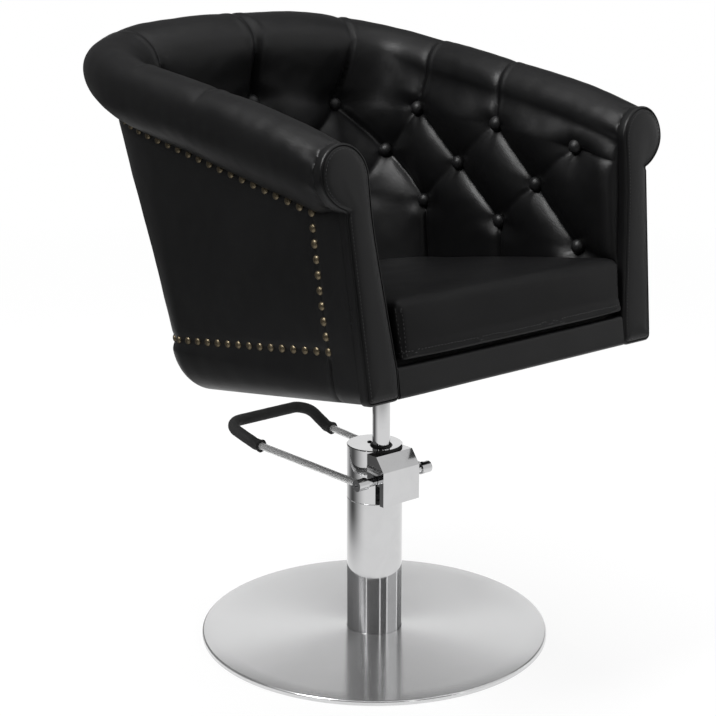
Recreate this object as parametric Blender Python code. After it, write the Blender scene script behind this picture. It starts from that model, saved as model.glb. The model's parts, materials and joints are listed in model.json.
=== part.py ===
"""Hydraulic styling chair: a button tufted tub on a foot pumped column with a round disc base.

Metres, +Z up. The origin is the middle of the disc base on the floor, and the sitter faces -Y.
The chair stands part way up its lift. The tub is modelled level in a frame of its own, whose origin is
the middle of the tub's lower front edge, and one empty rakes that frame back.
"""
import math

import bmesh
import bpy
from mathutils import Matrix, Vector

# Fits between pieces
SEAT_GAP = 0.0003
RUN_GAP = 0.0005

# Disc base, from the floor up
BASE_RADIUS = 0.280
FLOOR_PAD = 0.0025
FLOOR_PAD_INSET = 0.004
BASE_PLATE = 0.004
COVER_SHEET = 0.001
COVER_EDGE_RADIUS = 0.003
COVER_RIM_LIFT = 0.0008

# Column and the pump inside it
COLUMN_RADIUS = 0.04445
COLUMN_WALL = 0.002
COLUMN_TOP = 0.230
FOOT_HEIGHT = 0.014
FOOT_BOLT_CIRCLE = 0.031
FOOT_BOLT_RADIUS = 0.003
FOOT_BOLT_HEAD_RADIUS = 0.0048
FOOT_BOLT_HEAD = 0.006
FOOT_BOLTS = 4
RAM_RADIUS = 0.014
RAM_OFFSET = -0.016
CYLINDER_WALL = 0.002
CYLINDER_FLOOR = 0.006
GLAND_WALL = 0.0034
GLAND_HEIGHT = 0.019
WIPER_HEIGHT = 0.0025
WIPER_WALL = 0.0026

# Pump head and its front cover
HEAD_HEIGHT = 0.0887
HEAD_SPIGOT = 0.012
HEAD_EDGE_RADIUS = 0.0015
HEAD_WALL = 0.0019
HEAD_POCKET_BOTTOM = 0.006
HEAD_POCKET_TOP = 0.007
HEAD_POCKET_HALF = 0.030
EAR_INSIDE = 0.016
EAR_THICKNESS = 0.008
EAR_REACH = 0.009
COVER_HALF = 0.037
COVER_WALL = 0.0015
COVER_FOOT = 0.0057
COVER_TOP_DROP = 0.0045
COVER_SLOPE_RISE = 0.0225
COVER_SLOPE_BACK = 0.0175
COVER_SIDE_SLOT = 0.009

# Foot lever, its shaft and the pump plunger
SHAFT_RADIUS = 0.007
SHAFT_REACH = 0.0285
SHAFT_HEIGHT = 0.0447
COLLAR_RADIUS = 0.0095
COLLAR_LENGTH = 0.019
COLLAR_SOCKET_RADIUS = 0.0032
COLLAR_SOCKET_DEPTH = 0.004
SET_SCREW_RADIUS = 0.0026
SET_SCREW_PROUD = 0.0004
LEVER_RADIUS = 0.006
LEVER_BEND_RADIUS = 0.026
LEVER_ARM_SPREAD = 0.0105
LEVER_ARM_REACH = 0.262
LEVER_ARM_RISE = 0.003
PEDAL_SPREAD = 0.009
PEDAL_REACH = 0.070
PEDAL_RISE = 0.020
GRIP_RADIUS = 0.0096
GRIP_LAP = 0.016
PLUNGER_RADIUS = 0.0028
PLUNGER_HEAD_RADIUS = 0.0042
PLUNGER_HEAD = 0.004
PLUNGER_LENGTH = 0.029
BARREL_WALL = 0.0017
BARREL_HEIGHT = 0.026
FINGER_WALL = 0.0019
FINGER_HALF_LENGTH = 0.0075
FINGER_HEIGHT = 0.006
FINGER_LIFT_GAP = 0.001

# Ram rod, its piston and the hub that carries the seat
ROD_GUIDED = 0.125
PISTON_LENGTH = 0.020
HUB_DROP = 0.0162
HUB_HEIGHT = 0.029
HUB_RADIUS = 0.027
ROD_NECK = 0.005
ROD_TAPER_LENGTH = 0.019
ROD_TAPER = 0.002

# Tub placing and outline
TUB_FRONT_Y = -0.318
TUB_FRONT_Z = 0.511
TUB_RAKE = math.radians(9.0)
HALF_WIDTH = 0.281
SIDE_FLARE = 0.045
BACK_DEPTH = 0.537
BACK_LEAN = 0.185
CORNER_DEPTH = 0.107
CORNER_WIDTH = 0.140
CORNER_FLARE = 0.065
CORNER_FLARE_LEVEL = 0.280
FRONT_LEAN = 0.035

# Upholstery layers, counted inward from the outer leather
OUTER_PAD = 0.008
PLY = 0.009
BAND_TOP = 0.068
BAND_BULGE = 0.005
BAND_ROUND_FRONT = 0.018
BAND_ROUND_WIDTH = 0.060
BAND_ROUND_HEIGHT = 0.050
BAND_FOOT_DEPTH = 0.072
BAND_FOOT_HEIGHT = 0.0095
BAND_SHELF = 0.0297
BAND_SHELF_DEPTH = 0.0345
SEAM_DRAW = 0.0025
SEAM_HALF = 0.007
SEAM_VALLEY = 0.004
NAIL_LINE_Y = 0.073
PANEL_BELLY = 0.002
PANEL_SHARES = (0.06, 0.28, 0.5, 0.72, 0.94)

# Top roll
CREST_FRONT = 0.346
CREST_RISE = 0.280
CREST_SWELL = 0.015
CREST_SWELL_RUN = 0.220
CREST_ARCH = 0.034
ROLL_OUT_ARM = 0.034
ROLL_OUT_BACK = 0.036
ROLL_IN_ARM = 0.049
ROLL_IN_BACK = 0.090
ROLL_HALF_HEIGHT = 0.047
ROLL_SEAT_ARM = 0.055
ROLL_SEAT_BACK = 0.085
LIP_FRONT = 0.242
LIP_RISE = 0.316
ROLL_PLEAT = 0.004
ROLL_UNDER_SHARE = 0.62

# Tufted inner pad
TUFT_COLUMNS = (0.0, 0.150, 0.282, 0.461, 0.628)
TUFT_STEPS = 6
TUFT_ROWS = 3
TUFT_ROW_BACK = 0.411
TUFT_ROW_FALL = 0.058
TUFT_ROW_CURVE = 0.059
TUFT_ROW_DROP = 0.076
FOLD_DEPTH_ARM = 0.050
FOLD_DEPTH_BACK = 0.036
PUFF_ARM = 0.017
PUFF_BACK = 0.022
DIMPLE = 0.006
PLEAT_ROWS = (-0.22, -0.1)
PLEAT_TOP_ROW = -0.32
SKIRT_SHARES = (0.25, 0.6)
PAD_FOOT_DEPTH = 0.059
BUTTON_RADIUS = 0.0105
BUTTON_HEIGHT = 0.006
BUTTON_SIDES = 8

# Arm fronts, rail, boards and cushion
ARM_FRONT_DEPTH = 0.015
ARM_FRONT_ROUND = 0.004
ARM_FOOT_CORNER = 0.006
ARM_FOOT_WIDTH = 0.059
ARM_WAIST_WIDTH = 0.042
ARM_WAIST_Z = 0.180
ARM_NECK_DROP = 0.094
RAIL_HEIGHT = 0.0377
RAIL_SETBACK = 0.002
RAIL_ROUND = 0.004
BOARD = 0.012
DUST_COVER = 0.001
DECK = 0.0256
PLATE_HALF_X = 0.110
PLATE_HALF_Y = 0.100
PLATE_STEEL = 0.004
PLATE_CORNER = 0.012
SEAT_BOLT_X = 0.085
SEAT_BOLT_Y = 0.075
SEAT_BOLT_RADIUS = 0.003
SEAT_BOLT_HEAD_RADIUS = 0.0065
SEAT_BOLT_HEAD = 0.004
SEAT_BOLT_REACH = 0.010
CUSHION_SIDE_GAP = 0.005
CUSHION_BACK_GAP = 0.004
CUSHION_FRONT = -0.006
CUSHION_BOW = 0.012
CUSHION_HEIGHT = 0.086
CUSHION_CROWN = 0.010
CUSHION_CORNER_FRONT = 0.028
CUSHION_CORNER_BACK = 0.095
CUSHION_EDGE_DRAW = 0.010
CUSHION_SIDE_BELLY = 0.003

# Facets round a full turn
ROUND_FINE = 56
ROUND_MEDIUM = 32
ROUND_SMALL = 16
ROUND_BOLT = 12

# Levels that follow from the sizes above
PLATE_BOTTOM = FLOOR_PAD + SEAT_GAP
PLATE_TOP = PLATE_BOTTOM + BASE_PLATE
COVER_UNDER = PLATE_TOP + SEAT_GAP
COVER_TOP = COVER_UNDER + COVER_SHEET
FOOT_TOP = PLATE_TOP + SEAT_GAP + FOOT_HEIGHT
HEAD_BOTTOM = COLUMN_TOP + SEAT_GAP
HEAD_TOP = HEAD_BOTTOM + HEAD_HEIGHT
GLAND_BOTTOM = HEAD_TOP - GLAND_HEIGHT
GLAND_RADIUS = RAM_RADIUS + RUN_GAP + GLAND_WALL
CYLINDER_BORE = RAM_RADIUS + 2 * RUN_GAP
CYLINDER_RADIUS = CYLINDER_BORE + CYLINDER_WALL
HEAD_FLAT = RAM_OFFSET - CYLINDER_RADIUS - SEAT_GAP - HEAD_WALL
FINGER_HUB_RADIUS = SHAFT_RADIUS + SEAT_GAP + FINGER_WALL
SHAFT_HALF = COVER_HALF + SHAFT_REACH
SHAFT_Y = HEAD_FLAT - FINGER_HUB_RADIUS - RUN_GAP
SHAFT_Z = HEAD_BOTTOM + SHAFT_HEIGHT
PLUNGER_Y = SHAFT_Y - FINGER_HUB_RADIUS - PLUNGER_HEAD_RADIUS
BARREL_RADIUS = PLUNGER_RADIUS + RUN_GAP + BARREL_WALL
COVER_FRONT = PLUNGER_Y - BARREL_RADIUS - RUN_GAP - COVER_WALL
ROD_FOOT = GLAND_BOTTOM - ROD_GUIDED
HUB_BOTTOM = TUB_FRONT_Z - (RAM_OFFSET - TUB_FRONT_Y) * math.tan(TUB_RAKE) - HUB_DROP
CORNER_START = BACK_DEPTH - CORNER_DEPTH
PLY_OUT = OUTER_PAD + SEAT_GAP
PLY_IN = PLY_OUT + PLY
PAD_BACK = PLY_IN + SEAT_GAP
PAD_LEDGE = PAD_BACK + PLY
ARM_START = ARM_FRONT_DEPTH + SEAT_GAP
BOARD_BOTTOM = BAND_FOOT_HEIGHT + SEAT_GAP
BOARD_TOP = BOARD_BOTTOM + BOARD
DECK_TOP = BOARD_TOP + SEAT_GAP + DECK
CUSHION_BOTTOM = DECK_TOP + SEAT_GAP
CUSHION_BACK = BACK_DEPTH + BACK_LEAN * CUSHION_BOTTOM - PAD_FOOT_DEPTH - CUSHION_BACK_GAP
ARM_FOOT_INNER = HALF_WIDTH - ARM_FOOT_WIDTH
CUSHION_HALF = ARM_FOOT_INNER - CUSHION_SIDE_GAP
SCROLL_Z = CREST_FRONT - ROLL_HALF_HEIGHT
SCROLL_RADIUS = (ROLL_IN_ARM + ROLL_OUT_ARM) / 2
SCROLL_X = HALF_WIDTH + SIDE_FLARE * SCROLL_Z + ROLL_OUT_ARM - SCROLL_RADIUS
ARM_NECK_Z = CREST_FRONT - ARM_NECK_DROP
TUFT_LAST = len(TUFT_COLUMNS) - 1


def finish_values(colour, roughness, metallic=0.0):
    """Bundle the three values of a plain finish."""
    return {"colour": colour, "roughness": roughness, "metallic": metallic}


FINISHES = {
    "leather": finish_values((0.012, 0.012, 0.013), 0.38),
    "chrome": finish_values((0.80, 0.81, 0.82), 0.08, 1.0),
    "stainless": finish_values((0.66, 0.66, 0.66), 0.28, 1.0),
    "steel": finish_values((0.42, 0.43, 0.44), 0.40, 1.0),
    "zinc": finish_values((0.58, 0.57, 0.54), 0.36, 1.0),
    "rubber": finish_values((0.018, 0.018, 0.018), 0.80),
    "plywood": finish_values((0.52, 0.36, 0.20), 0.70),
    "cloth": finish_values((0.02, 0.02, 0.02), 0.95),
}


def clear_scene():
    """Remove every object that the file holds."""
    for item in list(bpy.data.objects):
        bpy.data.objects.remove(item, do_unlink=True)


def material(name, finish):
    """Make one Principled material for one piece."""
    values = FINISHES[finish]
    made = bpy.data.materials.new(name)
    made.use_nodes = True
    shader = made.node_tree.nodes["Principled BSDF"]
    shader.inputs["Base Color"].default_value = (*values["colour"], 1.0)
    shader.inputs["Roughness"].default_value = values["roughness"]
    shader.inputs["Metallic"].default_value = values["metallic"]
    made.diffuse_color = (*values["colour"], 1.0)
    return made


def empty(name, location, parent=None, rotation=(0.0, 0.0, 0.0)):
    """Add an empty at a world place, for pieces that move or rake together."""
    made = bpy.data.objects.new(name, None)
    bpy.context.collection.objects.link(made)
    made.parent = parent
    offset = parent.matrix_world.translation if parent else Vector((0.0, 0.0, 0.0))
    made.location = Vector(location) - offset
    made.rotation_euler = rotation
    bpy.context.view_layer.update()
    return made


def mesh_object(name, mesh_bm, parent=None, level=True):
    """Turn a bmesh into an object. A level piece is drawn in world places, any other in its parent's."""
    bmesh.ops.remove_doubles(mesh_bm, verts=mesh_bm.verts, dist=1e-7)
    bmesh.ops.recalc_face_normals(mesh_bm, faces=mesh_bm.faces)
    if parent is not None and level:
        bmesh.ops.translate(mesh_bm, verts=mesh_bm.verts, vec=-parent.matrix_world.translation)
    data = bpy.data.meshes.new(name)
    mesh_bm.to_mesh(data)
    mesh_bm.free()
    made = bpy.data.objects.new(name, data)
    bpy.context.collection.objects.link(made)
    made.parent = parent
    return made


def piece(name, mesh_bm, finish, parent=None, level=True):
    """Add one named piece with a material of its own."""
    made = mesh_object(name, mesh_bm, parent, level)
    made.data.materials.append(material(name + "_finish", finish))
    return made


def cutter(name, mesh_bm, parent=None, level=True):
    """Add a helper solid that only feeds a Boolean."""
    made = mesh_object(name, mesh_bm, parent, level)
    made.hide_render = True
    made.display_type = "WIRE"
    return made


def combine(target, tool, operation):
    """Put a Boolean on a piece, with a helper solid as its second body."""
    modifier = target.modifiers.new(tool.name, "BOOLEAN")
    modifier.operation = operation
    modifier.solver = "EXACT"
    modifier.object = tool


def bevel(made, width, segments=2, angle=40.0):
    """Round a piece's sharp edges."""
    modifier = made.modifiers.new("rounded", "BEVEL")
    modifier.width = width
    modifier.segments = segments
    modifier.limit_method = "ANGLE"
    modifier.angle_limit = math.radians(angle)


def blend(first, last, share):
    """Mix two values."""
    return first + (last - first) * share


def loft(rings, ring_closes=False):
    """Skin rings of equal count. Open lofts get a cap at each end, closed ones join up."""
    made = bmesh.new()
    rows = [[made.verts.new(point) for point in ring] for ring in rings]
    count = len(rows[0])
    pairs = list(zip(rows, rows[1:]))
    if ring_closes:
        pairs.append((rows[-1], rows[0]))
    for lower, upper in pairs:
        for i in range(count):
            j = (i + 1) % count
            made.faces.new((lower[i], lower[j], upper[j], upper[i]))
    bmesh.ops.triangulate(made, faces=made.faces, quad_method="SHORT_EDGE")
    if not ring_closes:
        made.faces.new(rows[0][::-1])
        made.faces.new(rows[-1])
    return made


def revolve(profile, sides, centre=(0.0, 0.0)):
    """Spin a closed outline of radius and height points round an upright axis."""
    made = bmesh.new()
    points = [made.verts.new((radius + centre[0], centre[1], height)) for radius, height in profile]
    edges = [made.edges.new((points[i], points[(i + 1) % len(points)])) for i in range(len(points))]
    bmesh.ops.spin(
        made, geom=points + edges, cent=(centre[0], centre[1], 0.0), axis=(0.0, 0.0, 1.0),
        angle=2 * math.pi, steps=sides, use_merge=True, use_normal_flip=False, use_duplicate=False)
    bmesh.ops.remove_doubles(made, verts=made.verts, dist=1e-6)
    loose = [edge for edge in made.edges if not edge.link_faces]
    bmesh.ops.delete(made, geom=loose, context="EDGES")
    bmesh.ops.dissolve_degenerate(made, dist=1e-7, edges=made.edges)
    return made


def rod_solid(radius, bottom, top, sides, centre=(0.0, 0.0)):
    """Make an upright solid cylinder."""
    return revolve([(0.0, bottom), (radius, bottom), (radius, top), (0.0, top)], sides, centre)


def ring_solid(inner, outer, bottom, top, sides, centre=(0.0, 0.0)):
    """Make an upright ring with a through bore."""
    return revolve([(inner, bottom), (outer, bottom), (outer, top), (inner, top)], sides, centre)


def cross_rod(radius, left, right, y, z, sides):
    """Make a solid cylinder that lies along X."""
    rings = []
    for x in (left, right):
        turn = [2 * math.pi * i / sides for i in range(sides)]
        rings.append([(x, y + radius * math.cos(a), z + radius * math.sin(a)) for a in turn])
    return loft(rings)


def box(low, high):
    """Make a box between two corners."""
    made = bmesh.new()
    size = [b - a for a, b in zip(low, high)]
    middle = [(a + b) / 2 for a, b in zip(low, high)]
    matrix = Matrix.Translation(middle) @ Matrix.Diagonal((*size, 1.0))
    bmesh.ops.create_cube(made, size=1.0, matrix=matrix)
    return made


def side_prism(outline, half):
    """Sweep an outline of Y and Z points across X, by the same half width each way."""
    return loft([[(x, y, z) for y, z in outline] for x in (-half, half)])


def arc(centre, radius, start, end, steps):
    """List points on an arc, with angles in degrees."""
    angles = [math.radians(blend(start, end, i / steps)) for i in range(steps + 1)]
    return [(centre[0] + radius * math.cos(a), centre[1] + radius * math.sin(a)) for a in angles]


def joined(parts):
    """Gather several bmeshes into one."""
    whole = bmesh.new()
    for part in parts:
        data = bpy.data.meshes.new("gathered")
        part.to_mesh(data)
        part.free()
        whole.from_mesh(data)
        bpy.data.meshes.remove(data)
    return whole


def build_base():
    """Disc base: rubber floor pad, steel plate, stainless cover and the bolts that hold the pump foot."""
    plate_radius = BASE_RADIUS - COVER_EDGE_RADIUS - SEAT_GAP
    pad_radius = plate_radius - FLOOR_PAD_INSET
    piece("floor_pad", rod_solid(pad_radius, 0.0, FLOOR_PAD, ROUND_FINE), "rubber")
    plate = piece("base_plate", rod_solid(plate_radius, PLATE_BOTTOM, PLATE_TOP, ROUND_FINE), "steel")
    hole = COLUMN_RADIUS + SEAT_GAP
    shoulder = (BASE_RADIUS - COVER_EDGE_RADIUS, COVER_TOP - COVER_EDGE_RADIUS)
    inner_round = COVER_EDGE_RADIUS - COVER_SHEET
    profile = [(hole, COVER_UNDER), (hole, COVER_TOP)]
    profile += arc(shoulder, COVER_EDGE_RADIUS, 90, 0, 4)
    profile += [(BASE_RADIUS, COVER_RIM_LIFT), (BASE_RADIUS - COVER_SHEET, COVER_RIM_LIFT)]
    profile += arc(shoulder, inner_round, 0, 90, 3)
    piece("base_cover", revolve(profile, ROUND_FINE), "stainless")

    foot_radius = COLUMN_RADIUS - COLUMN_WALL - SEAT_GAP
    foot = piece("pump_foot", rod_solid(foot_radius, PLATE_TOP + SEAT_GAP, FOOT_TOP, ROUND_MEDIUM), "steel")
    bores = []
    for i in range(FOOT_BOLTS):
        angle = 2 * math.pi * (i + 0.5) / FOOT_BOLTS
        centre = (FOOT_BOLT_CIRCLE * math.cos(angle), FOOT_BOLT_CIRCLE * math.sin(angle))
        seat = FOOT_TOP + SEAT_GAP
        outline = [
            (0.0, PLATE_BOTTOM), (FOOT_BOLT_RADIUS, PLATE_BOTTOM), (FOOT_BOLT_RADIUS, seat),
            (FOOT_BOLT_HEAD_RADIUS, seat), (FOOT_BOLT_HEAD_RADIUS, seat + FOOT_BOLT_HEAD),
            (0.0, seat + FOOT_BOLT_HEAD)]
        piece("base_bolt_" + str(i + 1), revolve(outline, ROUND_SMALL, centre), "steel")
        bores.append(rod_solid(FOOT_BOLT_RADIUS + SEAT_GAP, 0.0, FOOT_TOP + FLOOR_PAD, ROUND_SMALL, centre))
    drills = cutter("foot_bolt_bores", joined(bores))
    combine(plate, drills, "DIFFERENCE")
    combine(foot, drills, "DIFFERENCE")


def build_column():
    """Chrome column tube, with the ram cylinder that stands on the pump foot inside it."""
    inner = COLUMN_RADIUS - COLUMN_WALL
    tube = ring_solid(inner, COLUMN_RADIUS, PLATE_TOP + SEAT_GAP, COLUMN_TOP, ROUND_FINE)
    piece("column_tube", tube, "chrome")
    bottom = FOOT_TOP + SEAT_GAP
    top = GLAND_BOTTOM - SEAT_GAP
    cup = [
        (0.0, bottom), (CYLINDER_RADIUS, bottom), (CYLINDER_RADIUS, top), (CYLINDER_BORE, top),
        (CYLINDER_BORE, bottom + CYLINDER_FLOOR), (0.0, bottom + CYLINDER_FLOOR)]
    piece("ram_cylinder", revolve(cup, ROUND_MEDIUM, (0.0, RAM_OFFSET)), "steel")


def build_pump_head():
    """Pump head casting with its shaft ears and plunger barrel, the rod gland, the wiper and the cover."""
    spigot = COLUMN_RADIUS - COLUMN_WALL - SEAT_GAP
    edge = (COLUMN_RADIUS - HEAD_EDGE_RADIUS, HEAD_TOP - HEAD_EDGE_RADIUS)
    profile = [(0.0, HEAD_BOTTOM - HEAD_SPIGOT), (spigot, HEAD_BOTTOM - HEAD_SPIGOT), (spigot, HEAD_BOTTOM)]
    profile += [(COLUMN_RADIUS, HEAD_BOTTOM)] + arc(edge, HEAD_EDGE_RADIUS, 0, 90, 3) + [(0.0, HEAD_TOP)]
    head = piece("pump_head", revolve(profile, ROUND_FINE), "chrome")
    pocket_low = HEAD_BOTTOM + HEAD_POCKET_BOTTOM
    pocket_high = HEAD_TOP - HEAD_POCKET_TOP
    pocket = box(
        (-HEAD_POCKET_HALF, -2 * COLUMN_RADIUS, pocket_low), (HEAD_POCKET_HALF, HEAD_FLAT, pocket_high))
    combine(head, cutter("head_pocket", pocket), "DIFFERENCE")

    root = HEAD_FLAT + EAR_THICKNESS / 2
    for side in (-1, 1):
        near = side * EAR_INSIDE
        far = side * (EAR_INSIDE + EAR_THICKNESS)
        low = (min(near, far), SHAFT_Y - EAR_REACH, SHAFT_Z - SHAFT_RADIUS - EAR_REACH)
        high = (max(near, far), root, SHAFT_Z + SHAFT_RADIUS + EAR_REACH)
        combine(head, cutter("shaft_ear_" + str(side), box(low, high)), "UNION")
    barrel = rod_solid(BARREL_RADIUS, pocket_low, pocket_low + BARREL_HEIGHT, ROUND_SMALL, (0.0, PLUNGER_Y))
    combine(head, cutter("barrel_boss", barrel), "UNION")
    web_top = pocket_low + BARREL_HEIGHT - BARREL_RADIUS
    web = box((-PLUNGER_RADIUS, PLUNGER_Y, pocket_low), (PLUNGER_RADIUS, root, web_top))
    combine(head, cutter("barrel_web", web), "UNION")

    low, step, high = HEAD_BOTTOM - 2 * HEAD_SPIGOT, GLAND_BOTTOM - SEAT_GAP, HEAD_TOP + GLAND_HEIGHT
    narrow, wide = CYLINDER_RADIUS + SEAT_GAP, GLAND_RADIUS + SEAT_GAP
    stepped = [(0.0, low), (narrow, low), (narrow, step), (wide, step), (wide, high), (0.0, high)]
    bore = revolve(stepped, ROUND_MEDIUM, (0.0, RAM_OFFSET))
    combine(head, cutter("ram_bore", bore), "DIFFERENCE")
    shaft_bore = cross_rod(
        SHAFT_RADIUS + RUN_GAP, -COLUMN_RADIUS, COLUMN_RADIUS, SHAFT_Y, SHAFT_Z, ROUND_MEDIUM)
    combine(head, cutter("shaft_bore", shaft_bore), "DIFFERENCE")
    plunger_bore = rod_solid(
        PLUNGER_RADIUS + RUN_GAP, pocket_low + PLUNGER_RADIUS, HEAD_TOP, ROUND_SMALL, (0.0, PLUNGER_Y))
    combine(head, cutter("plunger_bore", plunger_bore), "DIFFERENCE")

    centre = (0.0, RAM_OFFSET)
    gland_bore = RAM_RADIUS + RUN_GAP
    gland = ring_solid(gland_bore, GLAND_RADIUS, GLAND_BOTTOM, HEAD_TOP, ROUND_MEDIUM, centre)
    piece("rod_gland", gland, "steel")
    wiper_low = HEAD_TOP + SEAT_GAP
    wiper_high = wiper_low + WIPER_HEIGHT
    rim = gland_bore + WIPER_WALL
    lip = [
        (gland_bore, wiper_low), (rim, wiper_low), (rim, wiper_high - WIPER_HEIGHT / 3),
        (gland_bore + WIPER_WALL / 3, wiper_high), (gland_bore, wiper_high)]
    piece("rod_wiper", revolve(lip, ROUND_MEDIUM, centre), "rubber")
    build_head_cover()


def cover_outline(wall):
    """Side outline of the head cover, drawn in by a wall thickness."""
    top_z = HEAD_TOP - COVER_TOP_DROP
    slope_z = top_z - COVER_SLOPE_RISE
    foot_z = HEAD_BOTTOM + COVER_FOOT - wall
    front = COVER_FRONT + wall
    slope_back = COVER_FRONT + COVER_SLOPE_BACK + wall / 2
    return [
        (front, foot_z), (front, slope_z - wall / 2), (slope_back, top_z - wall),
        (wall, top_z - wall), (wall, foot_z)]


def build_head_cover():
    """Folded chrome cover over the lever shaft, open at its back and low down at its sides."""
    cover = piece("head_cover", side_prism(cover_outline(0.0), COVER_HALF), "chrome")
    inside = side_prism(cover_outline(COVER_WALL), COVER_HALF - COVER_WALL)
    combine(cover, cutter("cover_inside", inside), "DIFFERENCE")
    column = rod_solid(COLUMN_RADIUS + 2 * SEAT_GAP, COLUMN_TOP / 2, 2 * HEAD_TOP, ROUND_FINE)
    combine(cover, cutter("cover_column", column), "DIFFERENCE")
    reach = 2 * COVER_HALF
    hole = cross_rod(SHAFT_RADIUS + 2 * RUN_GAP, -reach, reach, SHAFT_Y, SHAFT_Z, ROUND_MEDIUM)
    combine(cover, cutter("cover_shaft_hole", hole), "DIFFERENCE")
    slot_low = (-reach, COVER_FRONT + COVER_SIDE_SLOT, HEAD_BOTTOM - HEAD_SPIGOT)
    slot_high = (reach, COVER_HALF, SHAFT_Z - SHAFT_RADIUS - RUN_GAP)
    combine(cover, cutter("cover_side_slots", box(slot_low, slot_high)), "DIFFERENCE")


def round_corner(before, corner, after, radius, steps=5):
    """Round one corner of a path of points."""
    to_before = (before - corner).normalized()
    to_after = (after - corner).normalized()
    half_angle = to_before.angle(to_after) / 2
    run = radius / math.tan(half_angle)
    centre = corner + (to_before + to_after).normalized() * (radius / math.sin(half_angle))
    start = corner + to_before * run - centre
    end = corner + to_after * run - centre
    return [centre + start.slerp(end, i / steps) * radius / start.slerp(end, i / steps).length
            for i in range(steps + 1)]


def lever_path(grip_only):
    """Middle line of the foot lever, from one arm to the other round the pedal, or of its grip alone."""
    root_x = SHAFT_HALF
    knee = Vector((root_x + LEVER_ARM_SPREAD, SHAFT_Y + LEVER_ARM_REACH, SHAFT_Z + LEVER_ARM_RISE))
    root = Vector((root_x, SHAFT_Y + COLLAR_RADIUS + SEAT_GAP, SHAFT_Z))
    corner = knee + Vector((PEDAL_SPREAD, PEDAL_REACH, PEDAL_RISE))
    middle = Vector((0.0, corner.y, corner.z))
    lead = knee + (root - knee).normalized() * GRIP_LAP
    begin = lead if grip_only else root
    half = [begin] + round_corner(begin, knee, corner, GRIP_LAP, 2) + round_corner(
        knee, corner, middle, LEVER_BEND_RADIUS)
    mirrored = [Vector((-point.x, point.y, point.z)) for point in reversed(half)]
    return half + mirrored


def path_rings(path, radius, sides):
    """Place a circle square to a path at each of its points."""
    rings = []
    for i, point in enumerate(path):
        ahead = path[min(i + 1, len(path) - 1)]
        behind = path[max(i - 1, 0)]
        along = (ahead - behind).normalized()
        across = along.cross(Vector((0.0, 0.0, 1.0))).normalized()
        rise = across.cross(along)
        turn = [2 * math.pi * k / sides for k in range(sides)]
        rings.append([point + radius * (math.cos(a) * across + math.sin(a) * rise) for a in turn])
    return rings


def build_lever(axis):
    """Foot lever: shaft, collars, set screws, bent tube, rubber grip and plunger finger."""
    shaft = cross_rod(SHAFT_RADIUS, -SHAFT_HALF, SHAFT_HALF, SHAFT_Y, SHAFT_Z, ROUND_MEDIUM)
    piece("lever_shaft", shaft, "chrome", axis)
    for name, side in (("left", 1), ("right", -1)):
        build_collar(name, side, axis)
    piece("lever_tube", loft(path_rings(lever_path(False), LEVER_RADIUS, ROUND_SMALL)), "chrome", axis)
    grip_path = lever_path(True)
    outer = path_rings(grip_path, GRIP_RADIUS, ROUND_SMALL)
    inner = path_rings(grip_path, LEVER_RADIUS + SEAT_GAP, ROUND_SMALL)
    piece("lever_grip", loft(outer + inner[::-1], ring_closes=True), "rubber", axis)

    build_finger(axis)


def build_finger(axis):
    """Forked finger on the shaft, which lifts the plunger by its head."""
    half, rise = FINGER_HALF_LENGTH, FINGER_HEIGHT / 2
    sleeve = cross_rod(FINGER_HUB_RADIUS, -half, half, SHAFT_Y, SHAFT_Z, ROUND_MEDIUM)
    finger = piece("plunger_finger", sleeve, "steel", axis)
    tip = PLUNGER_Y - PLUNGER_HEAD_RADIUS
    blade = box((-half, tip, SHAFT_Z - rise), (half, SHAFT_Y, SHAFT_Z + rise))
    combine(finger, cutter("finger_blade", blade, axis), "UNION")
    stem = PLUNGER_RADIUS + 2 * RUN_GAP
    fork = box((-stem, tip - rise, SHAFT_Z - 2 * rise), (stem, PLUNGER_Y + stem, SHAFT_Z + 2 * rise))
    combine(finger, cutter("finger_fork", fork, axis), "DIFFERENCE")
    bore = cross_rod(SHAFT_RADIUS + SEAT_GAP, -SHAFT_HALF, SHAFT_HALF, SHAFT_Y, SHAFT_Z, ROUND_MEDIUM)
    combine(finger, cutter("finger_bore", bore, axis), "DIFFERENCE")


def build_collar(name, side, axis):
    """End collar of the lever shaft, with a socket in its face and a set screw in its front."""
    middle = side * SHAFT_HALF
    half = COLLAR_LENGTH / 2
    collar = piece("lever_collar_" + name, cross_rod(
        COLLAR_RADIUS, middle - half, middle + half, SHAFT_Y, SHAFT_Z, ROUND_MEDIUM), "chrome", axis)
    inward = middle - side * COLLAR_LENGTH
    seat = middle + side * SEAT_GAP
    near, far = sorted((inward, seat))
    bore = cross_rod(SHAFT_RADIUS + SEAT_GAP, near, far, SHAFT_Y, SHAFT_Z, ROUND_MEDIUM)
    combine(collar, cutter("collar_bore_" + name, bore, axis), "DIFFERENCE")
    face = middle + side * half
    ends = sorted((face - side * COLLAR_SOCKET_DEPTH, face + side * COLLAR_SOCKET_DEPTH))
    socket = cross_rod(COLLAR_SOCKET_RADIUS, ends[0], ends[1], SHAFT_Y, SHAFT_Z, 6)
    combine(collar, cutter("collar_socket_" + name, socket, axis), "DIFFERENCE")
    screw_x = middle - side * half / 2
    top = SHAFT_Z + COLLAR_RADIUS + SET_SCREW_PROUD
    floor = SHAFT_Z + SHAFT_RADIUS + SEAT_GAP
    centre = (screw_x, SHAFT_Y)
    screw = rod_solid(SET_SCREW_RADIUS, floor, top, ROUND_SMALL, centre)
    piece("lever_screw_" + name, screw, "steel", axis)
    tapped = rod_solid(SET_SCREW_RADIUS + SEAT_GAP, SHAFT_Z, top + SET_SCREW_RADIUS, ROUND_SMALL, centre)
    combine(collar, cutter("collar_tapped_" + name, tapped, axis), "DIFFERENCE")


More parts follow.
